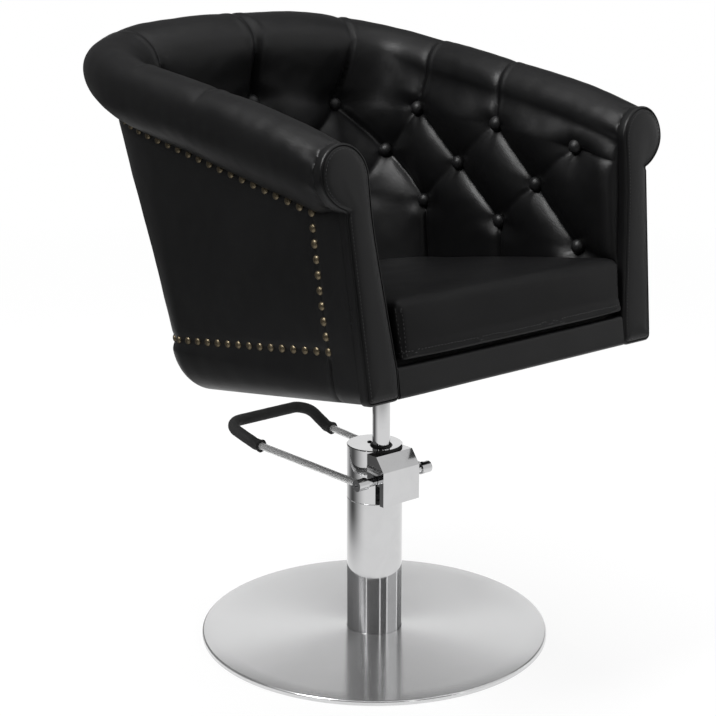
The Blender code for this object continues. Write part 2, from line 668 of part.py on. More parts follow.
def build_plunger(axis):
    """Pump plunger, whose head the finger lifts."""
    head_low = SHAFT_Z + FINGER_HEIGHT / 2 + FINGER_LIFT_GAP
    head_high = head_low + PLUNGER_HEAD
    foot = head_high - PLUNGER_LENGTH
    outline = [
        (0.0, foot), (PLUNGER_RADIUS, foot), (PLUNGER_RADIUS, head_low), (PLUNGER_HEAD_RADIUS, head_low),
        (PLUNGER_HEAD_RADIUS, head_high), (0.0, head_high)]
    piece("pump_plunger", revolve(outline, ROUND_SMALL, (0.0, PLUNGER_Y)), "steel", axis)


def build_ram(carriage, turning):
    """Ram: the piston that only lifts, the rod that lifts and turns, and the hub on the rod's taper."""
    centre = (0.0, RAM_OFFSET)
    piston_top = ROD_FOOT - SEAT_GAP
    piston = rod_solid(RAM_RADIUS + RUN_GAP, piston_top - PISTON_LENGTH, piston_top, ROUND_MEDIUM, centre)
    piece("ram_piston", piston, "steel", carriage)
    neck = HUB_BOTTOM + ROD_NECK
    tip = neck + ROD_TAPER_LENGTH
    rod = [(0.0, ROD_FOOT), (RAM_RADIUS, ROD_FOOT), (RAM_RADIUS, neck)]
    rod += [(RAM_RADIUS - ROD_TAPER, tip), (0.0, tip)]
    piece("ram_rod", revolve(rod, ROUND_MEDIUM, centre), "chrome", turning)
    bore = RAM_RADIUS + SEAT_GAP
    top = HUB_BOTTOM + HUB_HEIGHT
    hub = [
        (bore, HUB_BOTTOM), (HUB_RADIUS, HUB_BOTTOM), (HUB_RADIUS, top), (0.0, top), (0.0, tip + SEAT_GAP),
        (bore - ROD_TAPER, tip + SEAT_GAP), (bore, neck)]
    piece("seat_hub", revolve(hub, ROUND_MEDIUM, centre), "steel", turning)


def corner_run():
    """Distance along the U round one back corner, measured on the pad's face."""
    width = CORNER_WIDTH - FOLD_DEPTH_ARM
    return math.pi / 2 * math.sqrt((width ** 2 + CORNER_DEPTH ** 2) / 2)


class Station:
    """One place along the tub's U, counted from the middle of the back, with the outward direction there."""

    def __init__(self, along):
        self.side = -1.0 if along < 0 else 1.0
        run = abs(along)
        straight = HALF_WIDTH - CORNER_WIDTH
        bend = corner_run()
        self.back_share = min(run / straight, 1.0)
        self.turn = math.pi / 2 * min(max(run - straight, 0.0) / bend, 1.0)
        self.arm_run = max(run - straight - bend, 0.0)
        self.backness = math.cos(self.turn) ** 2
        across, back = math.sin(self.turn) * CORNER_DEPTH, math.cos(self.turn) * CORNER_WIDTH
        self.out = Vector((across, back)).normalized()

    def wall(self, z):
        """Outer leather's place at a height, on the sitter's left side."""
        half = HALF_WIDTH + SIDE_FLARE * z
        half += CORNER_FLARE * (z - CORNER_FLARE_LEVEL) * math.sin(2 * self.turn) ** 2
        back = BACK_DEPTH + BACK_LEAN * z
        x = (half - CORNER_WIDTH) * self.back_share + CORNER_WIDTH * math.sin(self.turn)
        arm_length = CORNER_START - ARM_START
        y = CORNER_START + (back - CORNER_START) * math.cos(self.turn)
        share = min(self.arm_run / arm_length, 1.0)
        y -= share * (arm_length + FRONT_LEAN * z)
        return Vector((x, y))

    def point(self, depth, z):
        """Place at a depth inside the outer leather and a height."""
        place = self.wall(z) - depth * self.out
        return Vector((self.side * place.x, place.y, z))

    def arch(self):
        """How much higher the top is here than on the arms, from its arch across the back."""
        across = self.wall(CREST_FRONT).x / (HALF_WIDTH + SIDE_FLARE * CREST_FRONT)
        return CREST_ARCH * (1 - min(across, 1.0) ** 2)

    def rearness(self):
        """Share of the way from the arm's front to the back corner."""
        return min(max(self.wall(CREST_FRONT).y / CORNER_START, 0.0), 1.0)

    def crest(self):
        """Height of the top roll's crest."""
        back = self.wall(CREST_FRONT).y
        ahead = 1 - min(max(back / CREST_SWELL_RUN, 0.0), 1.0)
        return CREST_FRONT + CREST_RISE * back + CREST_SWELL * (1 - ahead ** 2) + self.arch()

    def roll_seat(self):
        """Height at which the roll sits on the ply and on the inner pad."""
        return self.crest() - blend(ROLL_SEAT_ARM, ROLL_SEAT_BACK, self.backness)

    def lip(self):
        """Height of the roll's outer lower lip, where the outer panel is nailed."""
        return LIP_FRONT + LIP_RISE * self.wall(CREST_FRONT).y + self.arch()


def arm_end():
    """Distance along the U from the middle of the back to the arm's front."""
    return HALF_WIDTH - CORNER_WIDTH + corner_run() + CORNER_START - ARM_START


def tuft_along(column):
    """Distance along the U of a tuft column, counted in columns from the middle of the back."""
    whole = min(int(abs(column)), TUFT_LAST - 1)
    first, second = TUFT_COLUMNS[whole], TUFT_COLUMNS[whole + 1]
    return math.copysign(first + (abs(column) - whole) * (second - first), column)


def tub_columns():
    """Columns at which every layer of the tub is drawn, ends included."""
    last = TUFT_COLUMNS[-1] - TUFT_COLUMNS[-2]
    end = TUFT_LAST + (arm_end() - TUFT_COLUMNS[-1]) / last
    count = int(end * TUFT_STEPS - 0.25)
    inside = [i / TUFT_STEPS for i in range(-count, count + 1)]
    return [-end] + inside + [end]


def seam_columns():
    """Tub columns, with three more on each arm for the upright seam."""
    last = TUFT_COLUMNS[-1] - TUFT_COLUMNS[-2]
    columns = tub_columns()
    near = []
    for offset in (-SEAM_HALF, 0.0, SEAM_HALF):
        along = arm_end() - (NAIL_LINE_Y - ARM_START) + offset
        column = TUFT_LAST + (along - TUFT_COLUMNS[-1]) / last
        near += [column, -column]
    clear = [c for c in columns if min(abs(c - n) for n in near) > 0.25 / TUFT_STEPS]
    return sorted(clear + near)


def seam_draw(station):
    """How far the leather is drawn in at the upright seam."""
    away = abs(CORNER_START - NAIL_LINE_Y - station.arm_run)
    return SEAM_DRAW * max(0.0, 1.0 - away / SEAM_HALF)


def build_shell(tub):
    """Bent ply shell with the nailed outer panel and the rounded lower band round it."""
    plain = [Station(tuft_along(column)) for column in tub_columns()]
    rings = []
    for station in plain:
        top = station.roll_seat() - SEAT_GAP
        foot = BAND_SHELF + SEAT_GAP
        outside = [(PLY_OUT, z) for z in (foot, BAND_TOP, station.lip(), top)]
        inside = [(PLY_IN, z) for z in (top, CUSHION_BOTTOM, foot)]
        rings.append([station.point(depth, z) for depth, z in outside + inside])
    piece("tub_frame", loft(rings), "plywood", tub, False)

    seamed = [Station(tuft_along(column)) for column in seam_columns()]
    rings = []
    for station in seamed:
        low = BAND_TOP + SEAT_GAP
        high = station.lip() - SEAT_GAP
        draw = seam_draw(station)
        outline = [(OUTER_PAD, low), (SEAM_DRAW, low)]
        for share in PANEL_SHARES:
            belly = PANEL_BELLY * math.sin(math.pi * share)
            outline.append((draw - belly, blend(low, high, share)))
        outline += [(SEAM_DRAW, high), (OUTER_PAD, high)]
        rings.append([station.point(depth, z) for depth, z in outline])
    piece("outer_panel", loft(rings), "leather", tub, False)

    rings = []
    for station in seamed:
        draw = seam_draw(station)
        outline = [(OUTER_PAD, BAND_TOP), (SEAM_DRAW, BAND_TOP)]
        frontness = min(station.arm_run / (CORNER_START - ARM_START), 1.0)
        width = blend(BAND_ROUND_WIDTH, BAND_ROUND_FRONT, frontness)
        height = blend(BAND_ROUND_HEIGHT, BAND_ROUND_FRONT, frontness)
        bulge = BAND_BULGE * (1 - frontness ** 2)
        for turn in (180, 195, 210, 225, 240, 255, 270):
            angle = math.radians(turn)
            depth = width - bulge + width * math.cos(angle)
            outline.append((depth + draw, height * (1 + math.sin(angle))))
        outline += [
            (BAND_FOOT_DEPTH, 0.0), (BAND_FOOT_DEPTH, BAND_FOOT_HEIGHT), (BAND_SHELF_DEPTH, BAND_FOOT_HEIGHT),
            (BAND_SHELF_DEPTH, BAND_SHELF), (OUTER_PAD, BAND_SHELF)]
        rings.append([station.point(depth, z) for depth, z in outline])
    piece("lower_band", loft(rings), "leather", tub, False)


def build_roll(tub):
    """Padded roll along the top of the arms and back, drawn in where the tufting's pleats cross it."""
    rings = []
    for column in tub_columns():
        station = Station(tuft_along(column))
        crest = station.crest()
        out = blend(ROLL_OUT_ARM, ROLL_OUT_BACK, station.rearness())
        inward = blend(ROLL_IN_ARM, ROLL_IN_BACK, station.backness)
        pleated = abs(column - round(column)) < 0.01 and abs(column) < TUFT_LAST - 0.5
        pleat = ROLL_PLEAT if pleated else 0.0
        middle = (inward - out) / 2
        half = (inward + out) / 2
        lip = station.lip() + SEAT_GAP
        belt = crest - ROLL_HALF_HEIGHT
        outline = [(OUTER_PAD, lip), (SEAM_DRAW, lip), (-ROLL_UNDER_SHARE * out, blend(lip, belt, 0.5))]
        for turn in (180, 155, 130, 110, 90, 70, 50, 25, 0):
            angle = math.radians(turn)
            drawn = pleat * max(0.0, math.sin(angle))
            across = middle + (half - drawn) * math.cos(angle)
            outline.append((across, belt + (ROLL_HALF_HEIGHT - drawn) * math.sin(angle)))
        seat = station.roll_seat()
        outline.append((inward - SEAM_DRAW, seat + SEAM_VALLEY))
        outline += [(depth, seat) for depth in (PAD_LEDGE, PAD_BACK, OUTER_PAD)]
        rings.append([station.point(depth, z) for depth, z in outline])
    piece("top_roll", loft(rings), "leather", tub, False)


def tuft_row_height(along):
    """Height of the tufting's top row."""
    share = abs(along) / TUFT_COLUMNS[-1]
    return TUFT_ROW_BACK - TUFT_ROW_FALL * share - TUFT_ROW_CURVE * share ** 2


def fold_distance(column, row):
    """Distance to the nearest fold, in columns: diamonds among the rows, straight pleats beyond them."""
    across = abs(column)
    beyond = max(-row, row - 1.0, 0.0)
    if across > TUFT_LAST:
        return min(abs(row), abs(row - 1.0)) * 2 if beyond else min(row, 1.0 - row)
    if beyond and across > TUFT_LAST - 0.5:
        return max(TUFT_LAST - across, 2 * beyond)
    if beyond:
        return abs(across - round(across))
    first, second = across + row, across - row
    return min(abs(first - round(first)), abs(second - round(second)))


def is_button(column, row):
    """Whether a tuft button sits at a column and row."""
    rows = TUFT_ROWS - 1
    place = round(row * rows)
    shift = 0.5 * (place % 2)
    on_row = abs(row * rows - place) < 0.01 and 0 <= place <= rows
    limit = TUFT_LAST - shift + 0.01
    return on_row and abs(column) < limit and abs(column - shift - round(column - shift)) < 0.01


def pad_depth(station, column, row):
    """Depth of the tufted surface inside the outer leather."""
    pillow = 1.0 - (1.0 - min(1.0, 2 * fold_distance(column, row))) ** 2
    depth = blend(FOLD_DEPTH_ARM, FOLD_DEPTH_BACK, station.backness)
    depth += pillow * blend(PUFF_ARM, PUFF_BACK, station.backness)
    return depth - (DIMPLE if is_button(column, row) else 0.0)


def build_inner_pad(tub):
    """Button tufted pad inside the arms and back, with its buttons fused to it."""
    drop = TUFT_ROW_DROP * (TUFT_ROWS - 1)
    half = TUFT_STEPS
    rings = []
    buttons = []
    for column in tub_columns():
        along = tuft_along(column)
        station = Station(along)
        first = tuft_row_height(along)
        top = station.roll_seat() - SEAT_GAP
        foot = CUSHION_BOTTOM
        top_depth = blend(ROLL_IN_ARM, FOLD_DEPTH_BACK + PUFF_BACK, station.backness) - SEAM_DRAW
        outline = [(PAD_BACK, top), (PAD_LEDGE, top), (top_depth, top - SEAM_VALLEY)]
        for row in [*PLEAT_ROWS, *(i / half for i in range(half + 1))]:
            z = first - row * drop if row >= 0 else blend(first, top, row / PLEAT_TOP_ROW)
            depth = pad_depth(station, column, row)
            outline.append((depth, z))
            if is_button(column, row):
                buttons.append((station, depth, z))
        last = first - drop
        for share in SKIRT_SHARES:
            fullness = pad_depth(station, column, 1.0 + share / 2)
            outline.append((blend(fullness, PAD_FOOT_DEPTH, share), blend(last, foot, share)))
        outline += [(PAD_FOOT_DEPTH, foot), (PAD_BACK, foot)]
        rings.append([station.point(depth, z) for depth, z in outline])
    made = piece("inner_pad", loft(rings), "leather", tub, False)
    domes = joined([button_dome(*place) for place in buttons])
    combine(made, cutter("tuft_buttons", domes, tub, False), "UNION")


def button_dome(station, depth, z):
    """One covered button, sunk a little into the pad."""
    rings = []
    for radius, rise in ((0.72, -0.9), (1.0, 0.1), (0.62, 0.85)):
        ring = []
        for k in range(BUTTON_SIDES):
            angle = 2 * math.pi * k / BUTTON_SIDES
            aside = radius * BUTTON_RADIUS * math.cos(angle)
            up = radius * BUTTON_RADIUS * math.sin(angle)
            place = station.point(depth + rise * BUTTON_HEIGHT, z)
            along = Vector((-station.out.y * station.side, station.out.x, 0.0))
            ring.append(place + aside * along + Vector((0.0, 0.0, up)))
        rings.append(ring)
    return loft(rings)


def arm_front_outline():
    """Keyhole outline of an arm front on the sitter's left side, as X and Z points."""
    scroll = (SCROLL_X, SCROLL_Z)
    corner = (HALF_WIDTH - ARM_FOOT_CORNER, ARM_FOOT_CORNER)
    outer = [(ARM_FOOT_INNER, 0.0)] + arc(corner, ARM_FOOT_CORNER, 270, 360, 3)
    outer += [(HALF_WIDTH + SIDE_FLARE * z, z) for z in (ARM_NECK_Z / 2, ARM_NECK_Z)]
    curl = arc(scroll, SCROLL_RADIUS, -48, 180, 14)
    neck = (SCROLL_X - SCROLL_RADIUS, ARM_NECK_Z)
    waist = (HALF_WIDTH - ARM_WAIST_WIDTH, ARM_WAIST_Z)
    knee = (ARM_FOOT_INNER, RAIL_HEIGHT)
    return outer + curl + [neck, waist, knee]


def inset(outline, distance):
    """Draw a closed outline in, by moving each point along its own inward direction."""
    count = len(outline)
    moved = []
    for i, point in enumerate(outline):
        here = Vector(point)
        before = (here - Vector(outline[i - 1])).normalized()
        after = (Vector(outline[(i + 1) % count]) - here).normalized()
        inward = Vector((-(before.y + after.y), before.x + after.x)).normalized()
        moved.append(here + inward * distance)
    return moved


def build_arm_fronts(tub):
    """Padded keyhole panels that close the front ends of the arms."""
    outline = arm_front_outline()
    steps = ((ARM_FRONT_DEPTH, 0.0), (ARM_FRONT_ROUND, 0.0), (ARM_FRONT_ROUND / 4, ARM_FRONT_ROUND / 3),
             (0.0, ARM_FRONT_ROUND))
    for name, side in (("left", 1), ("right", -1)):
        rings = []
        for y, draw in steps:
            ring = inset(outline, draw) if draw else [Vector(point) for point in outline]
            rings.append([(side * p.x, y - FRONT_LEAN * p.y, p.y) for p in ring])
        piece("arm_front_" + name, loft(rings), "leather", tub, False)


def floor_outline(depth, z, front):
    """Plan outline of a board inside the tub, at a depth in from the outer leather."""
    stations = [Station(tuft_along(column)) for column in tub_columns()]
    points = [station.point(depth, z) for station in stations]
    return [(p.x, max(p.y, front)) for p in points]


def board_solid(outline, bottom, top):
    """Make a flat board from a plan outline."""
    return loft([[(x, y, z) for x, y in outline] for z in (bottom, top)])


def build_seat_base(tub, turning):
    """Front rail, bottom board, deck, dust cover and the steel plate that bolts the tub to the hub."""
    rail_half = ARM_FOOT_INNER - SEAT_GAP
    rail_back = ARM_FRONT_DEPTH - FRONT_LEAN * RAIL_HEIGHT
    rail_bar = box((-rail_half, RAIL_SETBACK, 0.0), (rail_half, rail_back, RAIL_HEIGHT))
    rail = piece("front_rail", rail_bar, "leather", tub, False)
    bevel(rail, RAIL_ROUND, 3)
    board_edge = floor_outline(BAND_SHELF_DEPTH + SEAT_GAP, BOARD_BOTTOM, ARM_START)
    board = piece("bottom_board", board_solid(board_edge, BOARD_BOTTOM, BOARD_TOP), "plywood", tub, False)
    piece("seat_deck", board_solid(board_edge, BOARD_TOP + SEAT_GAP, DECK_TOP), "cloth", tub, False)

    cloth_edge = floor_outline(BAND_FOOT_DEPTH + SEAT_GAP, BOARD_BOTTOM, ARM_START)
    cloth_top = BOARD_BOTTOM - SEAT_GAP
    sheet = board_solid(cloth_edge, cloth_top - DUST_COVER, cloth_top)
    dust = piece("dust_cover", sheet, "cloth", tub, False)
    hub_y = tub_y_at_ram(cloth_top)
    plate_low = cloth_top - PLATE_STEEL
    plate = piece("seat_plate", box(
        (-PLATE_HALF_X, hub_y - PLATE_HALF_Y, plate_low), (PLATE_HALF_X, hub_y + PLATE_HALF_Y, cloth_top)),
        "steel", tub, False)
    round_plate_corners(plate)
    margin = 2 * SEAT_GAP
    window = box(
        (-PLATE_HALF_X - margin, hub_y - PLATE_HALF_Y - margin, plate_low),
        (PLATE_HALF_X + margin, hub_y + PLATE_HALF_Y + margin, BOARD_TOP))
    combine(dust, cutter("dust_window", window, tub, False), "DIFFERENCE")
    low, high = HUB_BOTTOM - HUB_HEIGHT, HUB_BOTTOM + 3 * HUB_HEIGHT
    passage = rod_solid(HUB_RADIUS + SEAT_GAP, low, high, ROUND_MEDIUM, (0.0, RAM_OFFSET))
    hub_bore = cutter("hub_passage", passage, turning)
    combine(plate, hub_bore, "DIFFERENCE")
    combine(board, hub_bore, "DIFFERENCE")
    build_seat_bolts(tub, (plate, board), hub_y, plate_low)


def tub_y_at_ram(z):
    """Distance back in the tub's frame at which the ram's axis passes a height in that frame."""
    level = RAM_OFFSET - TUB_FRONT_Y
    return (level - z * math.sin(TUB_RAKE)) / math.cos(TUB_RAKE)


def round_plate_corners(plate):
    """Round the seat plate's four upright corners."""
    made = bmesh.new()
    made.from_mesh(plate.data)
    upright = [edge for edge in made.edges if abs(edge.verts[0].co.z - edge.verts[1].co.z) > PLATE_STEEL / 2]
    bmesh.ops.bevel(made, geom=upright, offset=PLATE_CORNER, segments=4, profile=0.5, affect="EDGES")
    made.to_mesh(plate.data)
    made.free()


def build_seat_bolts(tub, drilled, hub_y, plate_low):
    """Four hex bolts up through the seat plate into the bottom board."""
    seat = plate_low - SEAT_GAP
    tip = plate_low + SEAT_BOLT_REACH
    bores = []
    corners = [(x, y) for x in (-SEAT_BOLT_X, SEAT_BOLT_X) for y in (-SEAT_BOLT_Y, SEAT_BOLT_Y)]
    for i, (x, y) in enumerate(corners):
        centre = (x, hub_y + y)
        under = seat - SEAT_BOLT_HEAD
        head = [(0.0, under), (SEAT_BOLT_HEAD_RADIUS, under), (SEAT_BOLT_HEAD_RADIUS, seat)]
        shank = [(SEAT_BOLT_RADIUS, seat), (SEAT_BOLT_RADIUS, tip), (0.0, tip)]
        piece("seat_bolt_" + str(i + 1), revolve(head + shank, ROUND_BOLT, centre), "zinc", tub, False)
        bores.append(rod_solid(SEAT_BOLT_RADIUS + SEAT_GAP, under, tip + SEAT_GAP, ROUND_BOLT, centre))
    drills = cutter("seat_bolt_bores", joined(bores), tub, False)
    for board in drilled:
        combine(board, drills, "DIFFERENCE")


def cushion_outline():
    """Plan outline of the seat cushion: a bowed front, straight sides and round back corners."""
    half, front, back = CUSHION_HALF, CUSHION_FRONT, CUSHION_BACK
    small, large = CUSHION_CORNER_FRONT, CUSHION_CORNER_BACK
    right = arc((half - small, front + small), small, 270, 360, 4)
    right += [(half, blend(front, back, share)) for share in (0.3, 0.55)]
    right += arc((half - large, back - large), large, 0, 90, 6)
    points = right + [(-x, y) for x, y in reversed(right)]
    flat = half - small
    bowed = [(flat * share, front) for share in (-0.75, -0.5, -0.25, 0.0, 0.25, 0.5, 0.75)]
    placed = []
    for x, y in bowed + points:
        bow = CUSHION_BOW * (1 - (x / half) ** 2) if y < front + small else 0.0
        placed.append((x, y - bow))
    return placed


def build_cushion(tub):
    """Loose box cushion with drawn in edges, full sides and a crowned top."""
    outline = cushion_outline()
    middle_y = (CUSHION_FRONT + CUSHION_BACK) / 2
    wall_top = CUSHION_HEIGHT - CUSHION_CROWN / 2
    slight = CUSHION_EDGE_DRAW / 4
    profile = [(CUSHION_EDGE_DRAW, 0.0), (slight, 0.05), (0.0, 0.14), (-CUSHION_SIDE_BELLY, 0.5)]
    profile += [(0.0, 0.84), (slight, 0.95), (CUSHION_EDGE_DRAW, 1.0)]
    rings = []
    for draw, share in profile:
        z = CUSHION_BOTTOM + wall_top * share
        ring = inset(outline, draw) if draw else [Vector(point) for point in outline]
        rings.append([(p.x, p.y + cushion_lean(p.y, z), z) for p in ring])
    for share in (0.86, 0.66, 0.4, 0.15):
        z = CUSHION_BOTTOM + wall_top + CUSHION_CROWN * (1 - share ** 2)
        ring = [(x * share, middle_y + (y - middle_y) * share) for x, y in outline]
        rings.append([(x, y + cushion_lean(y, z), z) for x, y in ring])
    piece("seat_cushion", loft(rings), "leather", tub, False)


def cushion_lean(y, z):
    """How far the cushion's back half leans back, to follow the tub's back."""
    share = max(0.0, (y - CUSHION_FRONT) / (CUSHION_BACK - CUSHION_FRONT))
    return BACK_LEAN * (z - CUSHION_BOTTOM) * share ** 2


def main():
    """Build the whole chair."""
    clear_scene()
    build_base()
    build_column()
    build_pump_head()
    lever_axis = empty("lever_axis", (0.0, SHAFT_Y, SHAFT_Z))
    build_lever(lever_axis)
    plunger_axis = empty("plunger_axis", (0.0, PLUNGER_Y, SHAFT_Z))
    build_plunger(plunger_axis)
    lift_axis = empty("lift_axis", (0.0, RAM_OFFSET, ROD_FOOT))
    swivel_axis = empty("swivel_axis", (0.0, RAM_OFFSET, HUB_BOTTOM), lift_axis)
    build_ram(lift_axis, swivel_axis)
    tub = empty("tub_rake", (0.0, TUB_FRONT_Y, TUB_FRONT_Z), swivel_axis, (-TUB_RAKE, 0.0, 0.0))
    build_shell(tub)
    build_roll(tub)
    build_inner_pad(tub)
    build_arm_fronts(tub)
    build_seat_base(tub, swivel_axis)
    build_cushion(tub)


main()
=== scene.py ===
"""Looks of a hydraulic styling chair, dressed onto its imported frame.

Metres, +Z up. The origin is on the floor under the column, and the sitter faces -Y. The tub is shaped in a
level frame of its own, whose origin is the middle of its lower front edge, and is then raked back.
"""
from __future__ import annotations

import json
import logging
import math
from collections.abc import Callable
from dataclasses import dataclass
from enum import Enum

import bmesh
import bpy
import numpy as np
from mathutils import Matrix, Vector, noise
from mathutils.bvhtree import BVHTree
from mathutils.kdtree import KDTree

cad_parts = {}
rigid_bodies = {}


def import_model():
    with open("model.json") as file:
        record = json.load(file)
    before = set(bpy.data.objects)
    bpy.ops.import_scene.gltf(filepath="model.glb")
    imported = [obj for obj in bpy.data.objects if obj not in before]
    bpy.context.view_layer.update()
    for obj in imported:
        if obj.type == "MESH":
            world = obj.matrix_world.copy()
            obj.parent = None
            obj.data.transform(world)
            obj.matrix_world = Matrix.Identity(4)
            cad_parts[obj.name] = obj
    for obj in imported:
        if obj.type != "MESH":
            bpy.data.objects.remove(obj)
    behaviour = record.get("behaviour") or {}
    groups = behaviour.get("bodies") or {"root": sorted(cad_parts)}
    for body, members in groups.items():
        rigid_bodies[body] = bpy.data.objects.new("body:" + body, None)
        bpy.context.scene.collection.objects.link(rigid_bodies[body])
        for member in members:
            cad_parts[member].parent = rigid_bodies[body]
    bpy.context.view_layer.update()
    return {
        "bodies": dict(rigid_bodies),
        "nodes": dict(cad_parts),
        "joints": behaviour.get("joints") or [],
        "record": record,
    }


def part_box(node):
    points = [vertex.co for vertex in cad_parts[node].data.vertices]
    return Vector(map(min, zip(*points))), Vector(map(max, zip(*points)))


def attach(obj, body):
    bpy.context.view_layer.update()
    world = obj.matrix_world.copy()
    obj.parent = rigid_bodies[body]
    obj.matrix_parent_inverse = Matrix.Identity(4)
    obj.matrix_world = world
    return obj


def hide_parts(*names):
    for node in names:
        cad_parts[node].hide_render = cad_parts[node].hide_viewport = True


LOG = logging.getLogger("styling_chair")
SMOOTH_ANGLE = math.radians(42.0)
HIDE_ANGLE = math.radians(60.0)
FOLD_ANGLE = math.radians(75.0)
QUARTER = math.pi / 2
TINY = 1e-9

Array = np.ndarray
Colour = tuple[float, float, float]
Inputs = dict[str | int, object]
Material = bpy.types.Material
Mesh = bpy.types.Mesh
Node = bpy.types.Node
Pair = tuple[float, float]
Piece = bpy.types.Object
Socket = bpy.types.NodeSocket
Tree = bpy.types.NodeTree
Triple = tuple[float, float, float]


class Body(str, Enum):
    """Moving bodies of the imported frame."""

    BASE = "base"
    LEVER = "lever"
    SEAT = "seat"


class Slot(str, Enum):
    """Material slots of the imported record."""

    LEATHER = "leather"
    CHROME = "chrome"
    STAINLESS = "stainless"
    STEEL = "steel"
    RUBBER = "rubber"
    CLOTH = "cloth"


def ease(low: float, high: float, value: Array) -> Array:
    """Rise smoothly from 0 at low to 1 at high."""
    share = np.clip((value - low) / (high - low), 0.0, 1.0)
    return share * share * (3.0 - 2.0 * share)


def blend(first: Array, last: Array, share: Array) -> Array:
    """Mix two values by a share."""
    return first + (last - first) * share


def bell(value: Array, width: float) -> Array:
    """Fall from 1 at zero to almost nothing at twice a width."""
    return np.exp(-((value / width) ** 2))


def unit(vectors: Array) -> Array:
    """Scale vectors to length 1."""
    return vectors / np.linalg.norm(vectors, axis=-1, keepdims=True)


def hermite(start: tuple, end: tuple, start_slope: tuple, end_slope: tuple, steps: Array) -> list[Array]:
    """Draw cubic curves between pairs of points, one curve for each station.

    Args:
        start: Depth and height arrays of the first points.
        end: Depth and height arrays of the last points.
        start_slope: Depth and height tangents at the start.
        end_slope: Depth and height tangents at the end.
        steps: Shares along the curve.

    Returns:
        Depths and heights, one row for each station.
    """
    s = steps[None, :]
    weights = (2 * s**3 - 3 * s**2 + 1, s**3 - 2 * s**2 + s, -2 * s**3 + 3 * s**2, s**3 - s**2)
    drawn = []
    for axis in (0, 1):
        keys = (start[axis], start_slope[axis], end[axis], end_slope[axis])
        drawn.append(sum(np.asarray(key)[:, None] * weight for key, weight in zip(keys, weights)))
    return drawn


def unevenness(points: Array, layers: tuple[Triple, ...]) -> Array:
    """Soft unevenness of stretched hide.

    Args:
        points: Array whose last axis holds X, Y and Z.
        layers: Height, waves for each metre and fixed offset of every layer of noise.

    Returns:
        Heights in the shape of the points.
    """
    total = np.zeros(points.shape[:-1])
    for height, scale, offset in layers:
        flat = points.reshape(-1, 3) * scale + offset
        values = np.array([noise.noise(Vector(point)) for point in flat])
        total = total + height * values.reshape(total.shape)
    return total


def run_lengths(points: Array) -> Array:
    """Distances along a path, one for each of its points."""
    return np.concatenate([[0.0], np.cumsum(np.linalg.norm(np.diff(points, axis=0), axis=1))])


def even_path(points: Array, pitch: float, closed: bool = False) -> Array:
    """Space points evenly along a path.

    Args:
        points: Points of the path.
        pitch: Wanted spacing.
        closed: Whether the path runs back to its start.

    Returns:
        Evenly spaced points.
    """
    line = np.vstack([points, points[:1]]) if closed else np.asarray(points, float)
    lengths = run_lengths(line)
    count = max(2, int(round(lengths[-1] / pitch)))
    wanted = np.linspace(0.0, lengths[-1], count + 1)
    if closed:
        wanted = wanted[:-1]
    return np.stack([np.interp(wanted, lengths, line[:, k]) for k in range(line.shape[1])], 1)


def path_tangents(points: Array) -> Array:
    """Unit directions along a path, one for each of its points."""
    slope = np.gradient(points, axis=0)
    return slope / np.maximum(np.linalg.norm(slope, axis=1, keepdims=True), TINY)


def inward_normals(outline: Array, lap: int) -> Array:
    """Directions square to a closed plan outline, whose ends overlap by some points to smooth them."""
    along = path_tangents(np.vstack([outline[-lap:], outline, outline[:lap]]))[lap:-lap]
    return np.stack([-along[:, 1], along[:, 0]], 1)


def arc(middle: Pair, radius: float, start: float, end: float, count: int) -> Array:
    """Points on an arc, from a start angle to an end angle."""
    turn = np.linspace(start, end, count)
    return np.stack([middle[0] + radius * np.cos(turn), middle[1] + radius * np.sin(turn)], 1)


def at_height(flat: Array, z: float) -> Array:
    """Give plan points a height."""
    return np.column_stack([flat, np.full(len(flat), z)])


def grey(level: float, blue: float = 0.0) -> Colour:
    """Neutral colour, with a touch more blue where given."""
    return (level, level, level + blue)


def stand(name: str, data: bpy.types.ID) -> Piece:
    """Put a new object into the scene.

    Args:
        name: Its name.
        data: Its mesh, lamp or camera.

    Returns:
        The object.
    """
    made = bpy.data.objects.new(name, data)
    bpy.context.scene.collection.objects.link(made)
    return made


def evaluated_mesh(holder: Piece) -> Mesh:
    """Copy an object's mesh with its modifiers applied."""
    graph = bpy.context.evaluated_depsgraph_get()
    return bpy.data.meshes.new_from_object(holder.evaluated_get(graph))


